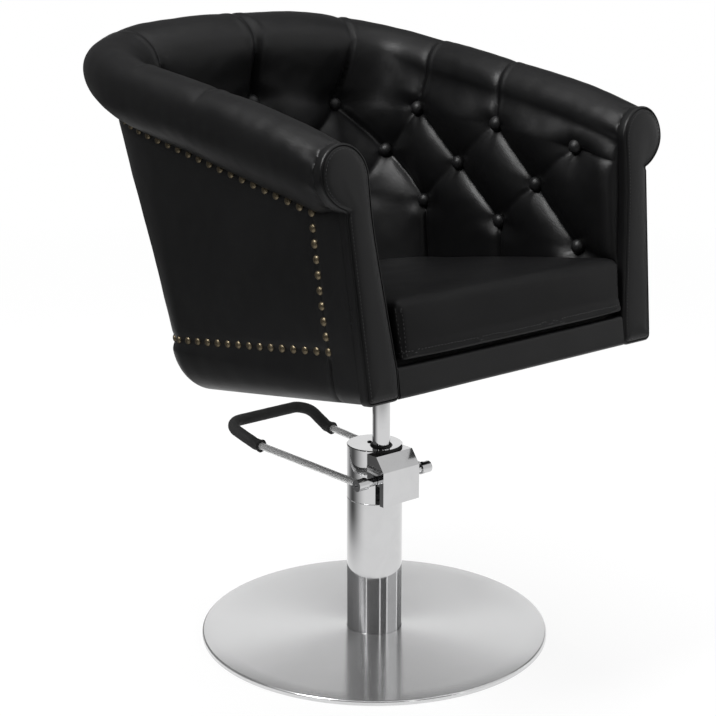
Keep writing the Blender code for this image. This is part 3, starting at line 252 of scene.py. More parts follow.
class MeshMaker:
    """Turns points and frame nodes into clean Blender meshes."""

    RUFFLES = 7
    RUFFLE_STEP = 0.9
    FLAT_ANGLE = math.radians(1.0)
    SHARP_ANGLE = math.radians(40.0)
    ROUNDED_ANGLE = math.radians(9.0)

    @staticmethod
    def tidy(maker: bmesh.types.BMesh, smooth_angle: float) -> Mesh:
        """Merge doubles, point the faces outwards and write a mesh.

        Args:
            maker: Working mesh, which is freed.
            smooth_angle: Steepest angle between faces that still shade as one.

        Returns:
            The finished mesh.
        """
        bmesh.ops.remove_doubles(maker, verts=maker.verts, dist=2e-6)
        bmesh.ops.dissolve_degenerate(maker, edges=maker.edges, dist=1e-6)
        bmesh.ops.recalc_face_normals(maker, faces=maker.faces)
        mesh = bpy.data.meshes.new("shape")
        maker.to_mesh(mesh)
        maker.free()
        mesh.shade_smooth()
        mesh.set_sharp_from_angle(angle=smooth_angle)
        return mesh

    @classmethod
    def skin(cls, rows: Array, loop: bool = False, smooth_angle: float = SMOOTH_ANGLE) -> Mesh:
        """Skin a grid of points whose rows are closed rings.

        Args:
            rows: Points as rows, columns and X, Y, Z.
            loop: Whether the last row joins the first. Both are filled otherwise.
            smooth_angle: Steepest angle between faces that still shade as one.

        Returns:
            The finished mesh.
        """
        count, width = rows.shape[:2]
        first = np.arange(count if loop else count - 1)[:, None]
        across = np.arange(width)[None, :]
        after, beside = (first + 1) % count, (across + 1) % width
        quads = np.stack([first * width + across, first * width + beside, after * width + beside,
                          after * width + across], -1).reshape(-1, 4).tolist()
        if not loop:
            quads += [list(range(width))[::-1], list(range((count - 1) * width, count * width))]
        rough = bpy.data.meshes.new("rough")
        rough.from_pydata(rows.reshape(-1, 3).tolist(), [], quads)
        maker = bmesh.new()
        maker.from_mesh(rough)
        bpy.data.meshes.remove(rough)
        return cls.tidy(maker, smooth_angle)

    @classmethod
    def turned(cls, profile: list, sides: int, centre: Pair = (0.0, 0.0)) -> Mesh:
        """Spin a closed outline round an upright axis.

        Args:
            profile: Radius and height points. Points on the axis close the piece.
            sides: Facets round a full turn.
            centre: X and Y of the axis.

        Returns:
            The finished mesh.
        """
        angles = np.linspace(0.0, 2 * math.pi, sides, endpoint=False)
        outline = np.array(profile)
        rows = np.stack([centre[0] + np.cos(angles)[:, None] * outline[None, :, 0],
                         centre[1] + np.sin(angles)[:, None] * outline[None, :, 0],
                         np.broadcast_to(outline[None, :, 1], (sides, len(outline)))], -1)
        return cls.skin(rows, loop=True)

    @classmethod
    def swept(cls, path: Array, radii: Array, sides: int, ripple: float = 0.0) -> Mesh:
        """Sweep a round section along a path.

        Args:
            path: Points of the middle line.
            radii: Radius at each point.
            sides: Facets round the section.
            ripple: Height of soft lengthwise ruffles.

        Returns:
            The finished mesh.
        """
        along = path_tangents(path)
        across = unit(np.cross(along, [0.0, 0.0, 1.0]))
        rise = np.cross(across, along)
        turn = np.linspace(0.0, 2 * math.pi, sides, endpoint=False)
        ruffle = np.cos(np.arange(len(path)) * cls.RUFFLE_STEP)[:, None] * np.cos(cls.RUFFLES * turn)[None, :]
        reach = radii[:, None] + ripple * ruffle
        rows = path[:, None, :] + reach[:, :, None] * (
            np.cos(turn)[None, :, None] * across[:, None, :] + np.sin(turn)[None, :, None] * rise[:, None, :])
        return cls.skin(rows)

    @classmethod
    def from_node(cls, node: Piece, round_width: float) -> Mesh:
        """Copy a frame node's shape, merge it and round its sharp edges.

        Args:
            node: Frame node to copy.
            round_width: Width of the rounding.

        Returns:
            The finished mesh.
        """
        maker = bmesh.new()
        maker.from_mesh(node.data)
        bmesh.ops.remove_doubles(maker, verts=maker.verts, dist=1e-5)
        bmesh.ops.dissolve_limit(maker, angle_limit=cls.FLAT_ANGLE, verts=maker.verts, edges=maker.edges)
        sharp = [edge for edge in maker.edges
                 if len(edge.link_faces) == 2 and edge.calc_face_angle(0.0) > cls.SHARP_ANGLE]
        bmesh.ops.bevel(maker, geom=sharp, offset=round_width, segments=2, profile=0.5, affect="EDGES",
                        clamp_overlap=True)
        return cls.tidy(maker, cls.ROUNDED_ANGLE)


class NodeSheet:
    """Adds and joins nodes in one node tree."""

    def __init__(self, tree: Tree) -> None:
        """Keep the tree that nodes go into."""
        self.tree = tree

    def feed(self, node: Node, inputs: Inputs) -> None:
        """Set or link a node's inputs.

        Args:
            node: Node to feed.
            inputs: Values or sockets, by the input's name or number.
        """
        for key, value in inputs.items():
            if isinstance(value, Socket):
                self.tree.links.new(value, node.inputs[key])
            else:
                node.inputs[key].default_value = value

    def add(self, kind: str, inputs: Inputs | None = None, **settings: object) -> Node:
        """Add one node.

        Args:
            kind: Blender's name of the node type.
            inputs: Values or sockets, by the input's name or number.
            settings: Properties of the node itself.

        Returns:
            The new node.
        """
        node = self.tree.nodes.new(kind)
        for key, value in settings.items():
            setattr(node, key, value)
        self.feed(node, inputs or {})
        return node

    def out(self, kind: str, output: str | int, inputs: Inputs | None = None, **settings: object) -> Socket:
        """Add one node as add does, and return one of its outputs."""
        return self.add(kind, inputs, **settings).outputs[output]

    def place(self, tree: Tree, **inputs: object) -> bpy.types.NodeOutputs:
        """Place a shared group and return its outputs."""
        return self.add("ShaderNodeGroup", inputs, node_tree=tree).outputs

    def maths(self, operation: str, first: object, second: object = 0.5) -> Socket:
        """Add a Math node and return its result."""
        return self.out("ShaderNodeMath", 0, {0: first, 1: second}, operation=operation)

    def noise(self, where: Socket, scale: object, detail: float, rough: float = 0.5,
              warp: float = 0.0) -> Socket:
        """Add noise over a place and return its value."""
        return self.out("ShaderNodeTexNoise", "Fac", {
            "Vector": where, "Scale": scale, "Detail": detail, "Roughness": rough, "Distortion": warp})

    def ranged(self, value: Socket, low: float, high: float, start: float = 0.3, end: float = 0.7) -> Socket:
        """Map a mask's range from start to end onto values from low to high."""
        return self.out("ShaderNodeMapRange", "Result", {
            "Value": value, "From Min": start, "From Max": end, "To Min": low, "To Max": high})

    def mixed(self, share: Socket, first: Colour, second: Colour) -> Socket:
        """Mix two colours by a share."""
        return self.out("ShaderNodeMix", "Result", {
            "Factor": share, "A": (*first, 1.0), "B": (*second, 1.0)}, data_type="RGBA")

    def bump(self, height: Socket, strength: float, distance: float) -> Socket:
        """Turn a height into a normal."""
        return self.out("ShaderNodeBump", "Normal", {
            "Height": height, "Strength": strength, "Distance": distance})


class SharedEffects:
    """Shader node groups that several finishes place with their own values."""

    def __init__(self) -> None:
        """Build every group once."""
        self.grain = self._grain()
        self.handling = self._handling()
        self.edge_wear = self._edge_wear()

    @staticmethod
    def _start(name: str, numbers: dict[str, float], masks: tuple[str, ...]) -> tuple:
        """Start a group that reads a place.

        Args:
            name: Name of the group.
            numbers: Defaults of its number inputs, by name.
            masks: Names of its outputs.

        Returns:
            The tree, its node sheet, the group's own inputs and its output node.
        """
        tree = bpy.data.node_groups.new(name, "ShaderNodeTree")
        tree.interface.new_socket("Vector", in_out="INPUT", socket_type="NodeSocketVector")
        for title, default in numbers.items():
            socket = tree.interface.new_socket(title, in_out="INPUT", socket_type="NodeSocketFloat")
            socket.default_value = default
        for title in masks:
            tree.interface.new_socket(title, in_out="OUTPUT", socket_type="NodeSocketFloat")
        sheet = NodeSheet(tree)
        return tree, sheet, sheet.add("NodeGroupInput").outputs, sheet.add("NodeGroupOutput")

    def _grain(self) -> Tree:
        """Pebbled hide.

        Returns:
            Group of the grain's height, a gloss mask and a tone mask.
        """
        tree, sheet, given, result = self._start(
            "hide_grain", {"Pebbles": 900.0, "Creases": 45.0, "Patches": 7.0}, ("Height", "Gloss", "Tone"))
        where = given["Vector"]
        cells = sheet.out("ShaderNodeTexVoronoi", "Distance", {"Vector": where, "Scale": given["Pebbles"]},
                          feature="DISTANCE_TO_EDGE")
        plump = sheet.maths("MINIMUM", sheet.maths("MULTIPLY", cells, 2.4), 0.75)
        pores = sheet.maths("MULTIPLY", sheet.noise(where, 2400.0, 2.0), 0.25)
        creases = sheet.noise(where, given["Creases"], 5.0, 0.6, 0.6)
        folds = sheet.maths("ABSOLUTE", sheet.maths("SUBTRACT", creases, 0.5))
        patches = sheet.noise(where, given["Patches"], 3.0, 0.55)
        pebbled = sheet.maths("ADD", plump, pores)
        sheet.feed(result, {
            "Height": sheet.maths("ADD", pebbled, sheet.maths("MULTIPLY", folds, 1.6)),
            "Gloss": patches,
            "Tone": sheet.maths("ADD", sheet.maths("MULTIPLY", plump, 0.6),
                                sheet.maths("MULTIPLY", patches, 0.4))})
        return tree

    def _handling(self) -> Tree:
        """Smudges and hairline scuffs of handled metal.

        Returns:
            Group of one mask.
        """
        tree, sheet, given, result = self._start(
            "handling_marks", {"Smudges": 26.0, "Scuffs": 220.0}, ("Mask",))
        smudge = sheet.noise(given["Vector"], given["Smudges"], 4.0, warp=0.8)
        scuff = sheet.noise(given["Vector"], given["Scuffs"], 3.0, 0.7)
        broad, fine = sheet.ranged(smudge, 0.0, 1.0, 0.42, 0.72), sheet.ranged(scuff, 0.0, 0.5, 0.55, 0.8)
        sheet.feed(result, {"Mask": sheet.maths("ADD", broad, fine)})
        return tree

    def _edge_wear(self) -> Tree:
        """Rubbed ridges.

        Returns:
            Group of one mask, 1 on the ridges and 0 elsewhere.
        """
        tree, sheet, given, result = self._start("ridge_wear", {"Patches": 30.0}, ("Mask",))
        ridge = sheet.ranged(sheet.out("ShaderNodeNewGeometry", "Pointiness"), 0.0, 1.0, 0.505, 0.56)
        broken = sheet.noise(given["Vector"], given["Patches"], 4.0)
        sheet.feed(result, {"Mask": sheet.maths("MULTIPLY", ridge, broken)})
        return tree


@dataclass(frozen=True)
class Finish:
    """Base of every finish, which feeds one Principled shader."""

    name: str

    def inputs(self, sheet: NodeSheet, where: Socket, effects: SharedEffects) -> Inputs:
        """Work out what feeds the shader.

        Args:
            sheet: Node sheet of the material.
            where: Object coordinates.
            effects: Shared groups to place.

        Returns:
            Values and sockets, by the shader's input.
        """
        raise NotImplementedError

    def make(self, effects: SharedEffects) -> Material:
        """Build the material.

        Args:
            effects: Shared groups to place.

        Returns:
            The material.
        """
        material = bpy.data.materials.new(self.name)
        material.use_nodes = True
        sheet = NodeSheet(material.node_tree)
        where = sheet.out("ShaderNodeTexCoord", "Object")
        sheet.feed(material.node_tree.nodes["Principled BSDF"], self.inputs(sheet, where, effects))
        return material


@dataclass(frozen=True)
class LeatherFinish(Finish):
    """Black hide with a fine pebble, soft creases and slightly polished ridges."""

    deep: Colour = grey(0.0026, 0.0002)
    pale: Colour = grey(0.0056, 0.0003)
    smooth: float = 0.31
    dull: float = 0.42
    specular: float = 0.29
    pebbles: float = 950.0
    polish: float = 0.10

    def inputs(self, sheet: NodeSheet, where: Socket, effects: SharedEffects) -> Inputs:
        """Grain the hide and polish its ridges, as the base says."""
        grain = sheet.place(effects.grain, Vector=where, Pebbles=self.pebbles)
        rubbed = sheet.maths("MULTIPLY", sheet.place(effects.edge_wear, Vector=where)["Mask"], self.polish)
        gloss = sheet.ranged(grain["Gloss"], self.smooth, self.dull)
        return {"Base Color": sheet.mixed(grain["Tone"], self.deep, self.pale),
                "Roughness": sheet.maths("SUBTRACT", gloss, rubbed),
                "Specular IOR Level": self.specular,
                "Normal": sheet.bump(grain["Height"], 0.28, 0.00025)}


@dataclass(frozen=True)
class ChromeFinish(Finish):
    """Bright plated steel with faint handling marks."""

    colour: Colour = grey(0.62, 0.005)
    worn: Colour = grey(0.595, 0.005)
    clean: float = 0.035
    smudged: float = 0.075
    metal: float = 1.0

    def inputs(self, sheet: NodeSheet, where: Socket, effects: SharedEffects) -> Inputs:
        """Dull the plating where it is handled, as the base says."""
        mask = sheet.place(effects.handling, Vector=where)["Mask"]
        return {"Base Color": sheet.mixed(mask, self.colour, self.worn),
                "Roughness": sheet.ranged(mask, self.clean, self.smudged, 0.0, 1.0),
                "Metallic": self.metal}


@dataclass(frozen=True)
class TurnedDiscFinish(Finish):
    """Stainless sheet brushed in fine rings round the column."""

    bright: Colour = grey(0.70, 0.005)
    dark: Colour = grey(0.665, 0.005)
    rings: float = 640.0
    rough: Pair = (0.20, 0.23)
    smudge: float = 0.02
    metal: float = 0.86

    def inputs(self, sheet: NodeSheet, where: Socket, effects: SharedEffects) -> Inputs:
        """Brush the sheet by radius and direction from the column, as the base says."""
        parts = sheet.add("ShaderNodeSeparateXYZ", {"Vector": where}).outputs
        x, y = parts["X"], parts["Y"]
        square = sheet.maths("ADD", sheet.maths("MULTIPLY", x, x), sheet.maths("MULTIPLY", y, y))
        radius = sheet.maths("SQRT", square)
        polar = sheet.out("ShaderNodeCombineXYZ", "Vector", {
            "X": sheet.maths("MULTIPLY", radius, self.rings), "Y": sheet.maths("DIVIDE", x, radius),
            "Z": sheet.maths("DIVIDE", y, radius)})
        lines = sheet.noise(polar, 1.0, 6.0, 0.7)
        marks = sheet.place(effects.handling, Vector=where, Smudges=7.0, Scuffs=90.0)["Mask"]
        smudges = sheet.maths("MULTIPLY", marks, self.smudge)
        return {"Base Color": sheet.mixed(sheet.ranged(lines, 0.0, 1.0), self.dark, self.bright),
                "Roughness": sheet.maths("ADD", sheet.ranged(lines, *self.rough), smudges),
                "Metallic": self.metal,
                "Anisotropic": 0.85,
                "Anisotropic Rotation": 0.25,
                "Tangent": sheet.out("ShaderNodeTangent", "Tangent", direction_type="RADIAL", axis="Z")}


@dataclass(frozen=True)
class BrassFinish(Finish):
    """Antique brass, dark in its hollows and rubbed bright on its crowns."""

    dark: Colour = (0.042, 0.033, 0.022)
    bright: Colour = (0.17, 0.14, 0.093)
    rough: Pair = (0.38, 0.58)
    most_bright: float = 0.85
    tarnish: float = 0.55

    def inputs(self, sheet: NodeSheet, where: Socket, effects: SharedEffects) -> Inputs:
        """Tarnish the hollows and rub the crowns, as the base says."""
        marks = sheet.place(effects.handling, Vector=where, Smudges=260.0, Scuffs=900.0)["Mask"]
        wear = sheet.place(effects.edge_wear, Vector=where, Patches=300.0)["Mask"]
        share = sheet.maths("SUBTRACT", self.most_bright, sheet.maths("MULTIPLY", marks, self.tarnish))
        return {"Base Color": sheet.mixed(sheet.maths("ADD", share, wear), self.dark, self.bright),
                "Roughness": sheet.ranged(marks, *self.rough, 0.0, 1.0),
                "Metallic": 1.0}


@dataclass(frozen=True)
class GrainyFinish(Finish):
    """Plain matt or satin surface with a fine grit: rubber, thread, painted or machined steel."""

    colour: Colour = grey(0.016)
    second: Colour = grey(0.026)
    rough: float = 0.7
    spread: float = 0.12
    metal: float = 0.0
    scale: float = 900.0
    depth: float = 0.25

    def inputs(self, sheet: NodeSheet, where: Socket, effects: SharedEffects) -> Inputs:
        """Mix two tones by the grit, as the base says."""
        grit = sheet.noise(where, self.scale, 4.0)
        marks = sheet.place(effects.handling, Vector=where, Smudges=40.0, Scuffs=400.0)["Mask"]
        return {"Base Color": sheet.mixed(grit, self.colour, self.second),
                "Roughness": sheet.ranged(marks, self.rough, self.rough + self.spread, 0.0, 1.0),
                "Metallic": self.metal,
                "Normal": sheet.bump(grit, self.depth, 0.0002)}


@dataclass(frozen=True)
class PlyFinish(Finish):
    """Bare plywood with long grain."""

    pale: Colour = (0.56, 0.40, 0.24)
    dark: Colour = (0.40, 0.26, 0.13)
    stretch: Triple = (6.0, 90.0, 90.0)
    rough: Pair = (0.6, 0.75)

    def inputs(self, sheet: NodeSheet, where: Socket, effects: SharedEffects) -> Inputs:
        """Draw the grain out along the sheet, as the base says."""
        stretched = sheet.out("ShaderNodeMapping", "Vector", {"Vector": where, "Scale": self.stretch})
        grain = sheet.noise(stretched, 1.0, 6.0, warp=1.2)
        marks = sheet.place(effects.handling, Vector=where)["Mask"]
        return {"Base Color": sheet.mixed(grain, self.dark, self.pale),
                "Roughness": sheet.ranged(marks, *self.rough, 0.0, 1.0),
                "Normal": sheet.bump(grain, 0.2, 0.0004)}


class Look(Enum):
    """Every finish of the chair."""

    LEATHER = LeatherFinish("black_leather")
    # Darker base colours than the main hide: painted shade that keeps the lamp-lit cushion top dark.
    CUSHION_PAINTED_SHADE = LeatherFinish("cushion_leather_painted_shade", grey(0.0016, 0.0002), grey(0.0036, 0.0002), smooth=0.42,
                            dull=0.52, specular=0.20)
    # Paler base colours than the main hide: a painted sheen that makes the covered buttons look lit.
    BUTTON_PAINTED_SHEEN = LeatherFinish("button_leather_painted_sheen", grey(0.006, 0.0004), grey(0.012, 0.0005), smooth=0.36, dull=0.48,
                           specular=0.36, pebbles=1300.0)
    CHROME = ChromeFinish("bright_chrome")
    SATIN = ChromeFinish("satin_chrome", grey(0.80), grey(0.74), clean=0.24, smudged=0.30, metal=0.6)
    DISC = TurnedDiscFinish("turned_stainless")
    BRASS = BrassFinish("antique_brass")
    RUBBER = GrainyFinish("matt_rubber", rough=0.62)
    FOAM = GrainyFinish("foam_sleeve", grey(0.010), grey(0.020), rough=0.78, spread=0.1, scale=1400.0,
                        depth=0.6)
    THREAD = GrainyFinish("waxed_thread", grey(0.020, 0.001), grey(0.045, 0.001), rough=0.5, spread=0.1,
                          scale=2200.0, depth=0.5)
    STEEL = GrainyFinish("machined_steel", (0.40, 0.41, 0.42), (0.52, 0.53, 0.54), rough=0.32, spread=0.15,
                         metal=1.0, scale=700.0, depth=0.08)
    PAINTED = GrainyFinish("black_steel", grey(0.020, 0.001), grey(0.030, 0.001), rough=0.38, spread=0.15,
                           scale=500.0, depth=0.15)
    ZINC = GrainyFinish("zinc_plate", (0.52, 0.51, 0.48), (0.64, 0.62, 0.58), rough=0.30, spread=0.18,
                        metal=1.0, scale=600.0, depth=0.08)
    LINING = GrainyFinish("lining_cloth", grey(0.006), grey(0.014), rough=0.9, spread=0.1, scale=1800.0,
                          depth=0.8)
    PLY = PlyFinish("bare_plywood")
    # Near-black finish: painted shade on the pump head behind the cover and inside the cover, also used for
    # the lever screws.
    PAINTED_SHADE_AND_SCREWS = GrainyFinish("painted_shade_and_dark_screws", grey(0.008), grey(0.012), rough=0.8)


@dataclass(frozen=True)
class Scatter:
    """Geometry Nodes tree that sets one small rounded shape on every point of a mesh."""

    name: str
    half_size: Triple
    facets: tuple[int, int]
    spread: float
    seed: int
    lay_along: bool = False

    FACE = "face"
    AIM = "aim"

    @staticmethod
    def stored(sheet: NodeSheet, name: str) -> Socket:
        """Read a direction that each point stores."""
        return sheet.out("GeometryNodeInputNamedAttribute", "Attribute", {"Name": name},
                         data_type="FLOAT_VECTOR")

    def tree(self) -> tuple[Tree, dict[str, str]]:
        """Build the tree.

        Returns:
            The tree, and the identifiers of its inputs by name.
        """
        tree = bpy.data.node_groups.new(self.name, "GeometryNodeTree")
        names = {}
        for title, kind in (("Geometry", "Geometry"), ("Half Size", "Vector"), ("Finish", "Material")):
            socket = tree.interface.new_socket(title, in_out="INPUT", socket_type="NodeSocket" + kind)
            names[title] = socket.identifier
        tree.interface.new_socket("Geometry", in_out="OUTPUT", socket_type="NodeSocketGeometry")
        sheet = NodeSheet(tree)
        given, result = sheet.add("NodeGroupInput").outputs, sheet.add("NodeGroupOutput")
        ball = sheet.out("GeometryNodeMeshUVSphere", "Mesh", {
            "Segments": self.facets[0], "Rings": self.facets[1], "Radius": 1.0})
        shaped = sheet.out("GeometryNodeTransform", "Geometry", {
            "Geometry": ball, "Scale": given["Half Size"]})
        rotation = sheet.out("FunctionNodeAlignRotationToVector", "Rotation", {
            "Vector": self.stored(sheet, self.FACE)}, axis="Z")
        if self.lay_along:
            rotation = sheet.out("FunctionNodeAlignRotationToVector", "Rotation", {
                "Rotation": rotation, "Vector": self.stored(sheet, self.AIM)}, axis="X", pivot_axis="Z")
        vary = sheet.out("FunctionNodeRandomValue", 1, {
            2: 1.0 - self.spread, 3: 1.0 + self.spread, 8: self.seed}, data_type="FLOAT")
        placed = sheet.out("GeometryNodeInstanceOnPoints", "Instances", {
            "Points": given["Geometry"], "Instance": shaped, "Rotation": rotation, "Scale": vary})
        real = sheet.out("GeometryNodeRealizeInstances", "Geometry", {"Geometry": placed})
        smooth = sheet.out("GeometryNodeSetShadeSmooth", "Geometry", {"Geometry": real})
        painted = sheet.out("GeometryNodeSetMaterial", "Geometry", {
            "Geometry": smooth, "Material": given["Finish"]})
        sheet.feed(result, {"Geometry": painted})
        return tree, names

    def mesh(self, places: Array, faces: Array, aims: Array | None, material: Material) -> Mesh:
        """Set the shape on points and turn the result into a plain mesh.

        Args:
            places: Places of the shapes.
            faces: Outward direction at each place.
            aims: Path direction at each place, for shapes that lie along one.
            material: Finish of the shapes.

        Returns:
            The realised mesh.
        """
        points = bpy.data.meshes.new(self.name)
        points.from_pydata(places.tolist(), [], [])
        directions = {self.FACE: faces, self.AIM: faces if aims is None else aims}
        for key, values in directions.items():
            attribute = points.attributes.new(key, "FLOAT_VECTOR", "POINT")
            attribute.data.foreach_set("vector", np.asarray(values, np.float32).ravel())
        holder = stand(self.name, points)
        modifier = holder.modifiers.new("scatter", "NODES")
        modifier.node_group, names = self.tree()
        modifier[names["Half Size"]] = self.half_size
        modifier[names["Finish"]] = material
        mesh = evaluated_mesh(holder)
        for key in directions:
            if key in mesh.attributes:
                mesh.attributes.remove(mesh.attributes[key])
        bpy.data.objects.remove(holder)
        bpy.data.meshes.remove(points)
        return mesh


class Dresser:
    def __init__(self, frame: dict) -> None:
        """Keep the frame's nodes and make every finish once.
        """
        effects = SharedEffects()
        self.nodes = frame["nodes"]
        self.materials = {look: look.value.make(effects) for look in Look}

    def piece(self, name: str, mesh: Mesh, look: Look, body: Body, slot: Slot | None = None,
              replaces: tuple[str, ...] = (), fill: float | None = None) -> Piece:
        """Add one piece.

        Args:
            name: Name of the piece.
            mesh: Its finished mesh.
            look: Its finish.
            body: Body that it rides on.
            slot: Not used.
            replaces: Frame nodes that it stands for.
            fill: Not used.

        Returns:
            The new object.
        """
        mesh.name = name
        made = stand(name, mesh)
        if mesh.materials:
            mesh.materials[0] = self.materials[look]
        else:
            mesh.materials.append(self.materials[look])
        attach(made, body.value)
        if replaces:
            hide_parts(*replaces)
        LOG.info("%s: %d faces on %s", name, len(mesh.polygons), body.value)
        return made

    def scatter(self, name: str, shape: Scatter, found: list[tuple], look: Look,
                slot: Slot | None = None) -> None:
        """Add one piece of many small shapes on the seat.

        Args:
            name: Name of the piece.
            shape: What is set on every point.
            found: Places, faces and any aims, line by line.
            look: Finish of the shapes.
            slot: Material slot of the record, where one fits.
        """
        places, faces, *aims = (np.vstack(part) for part in zip(*found))
        mesh = shape.mesh(places, faces, aims[0] if aims else None, self.materials[look])
        self.piece(name, mesh, look, Body.SEAT, slot)

    def shade_faces(self, piece: Piece, look: Look, chosen: Callable[[Vector, Vector], bool]) -> None:
        """Give some faces of a piece a second finish.

        Args:
            piece: The piece.
            look: Finish of the chosen faces.
            chosen: Says from a face's centre and normal whether it is chosen.
        """
        piece.data.materials.append(self.materials[look])
        for face in piece.data.polygons:
            if chosen(face.center, face.normal):
                face.material_index = 1

    def repaint(self, look: Look, *names: str) -> None:
        """Give frame nodes that stay a better finish.

        Args:
            look: Their finish.
            names: Their names.
        """
        for name in names:
            data = self.nodes[name].data
            data.materials.clear()
            data.materials.append(self.materials[look])


@dataclass
class SubAssembly:
    """Base of every sub-assembly, which adds its pieces through the dresser."""

    dresser: Dresser


@dataclass(frozen=True)
class TubForm:
    """Sizes of the tub in its own level frame, which every upholstered piece shares."""

    front_y: float = -0.318
    front_z: float = 0.511
    rake: float = math.radians(9.0)
    half_width: float = 0.281
    side_flare: float = 0.045
    back_depth: float = 0.537
    back_lean: float = 0.185
    corner_depth: float = 0.107
    corner_width: float = 0.140
    corner_fold: float = 0.050
    front_lean: float = 0.035
    arm_start: float = 0.0153
    corner_flare: float = 0.065
    flare_level: float = 0.280
    crest_front: float = 0.346
    crest_rise: float = 0.287
    crest_swell: float = 0.015
    swell_run: float = 0.220
    crest_arch: float = 0.027
    roll_out: Pair = (0.034, 0.036)
    roll_in: Pair = (0.049, 0.090)
    roll_half_height: float = 0.047
    roll_seat: Pair = (0.055, 0.085)
    lip_front: float = 0.242
    lip_rise: float = 0.316
    neck_rise: float = 0.013
    neck_run: float = 0.050
    seam_draw: float = 0.0025

    @property
    def corner_start(self) -> float:
        """Distance back at which the rear corners start."""
        return self.back_depth - self.corner_depth

    @property
    def arm_length(self) -> float:
        """Length of an arm's straight side."""
        return self.corner_start - self.arm_start

    def corner_run(self) -> float:
        """Distance along the U round one rear corner."""
        width = self.corner_width - self.corner_fold
        return QUARTER * math.sqrt((width**2 + self.corner_depth**2) / 2)

    def arm_end(self) -> float:
        """Distance along the U from the middle of the back to an arm's front."""
        return self.half_width - self.corner_width + self.corner_run() + self.arm_length

    def world(self, points: Array) -> Array:
        """Rake points of the tub's level frame into the world.

        Args:
            points: Array whose last axis holds X, Y and Z.

        Returns:
            World points in the same shape.
        """
        x, y, z = points[..., 0], points[..., 1], points[..., 2]
        cosine, sine = math.cos(self.rake), math.sin(self.rake)
        return np.stack([x, self.front_y + y * cosine + z * sine, self.front_z - y * sine + z * cosine], -1)

    def level(self, points: Array) -> Array:
        """Heights of world points in the tub's level frame."""
        ahead, rise = points[:, 1] - self.front_y, points[:, 2] - self.front_z
        return ahead * math.sin(self.rake) + rise * math.cos(self.rake)


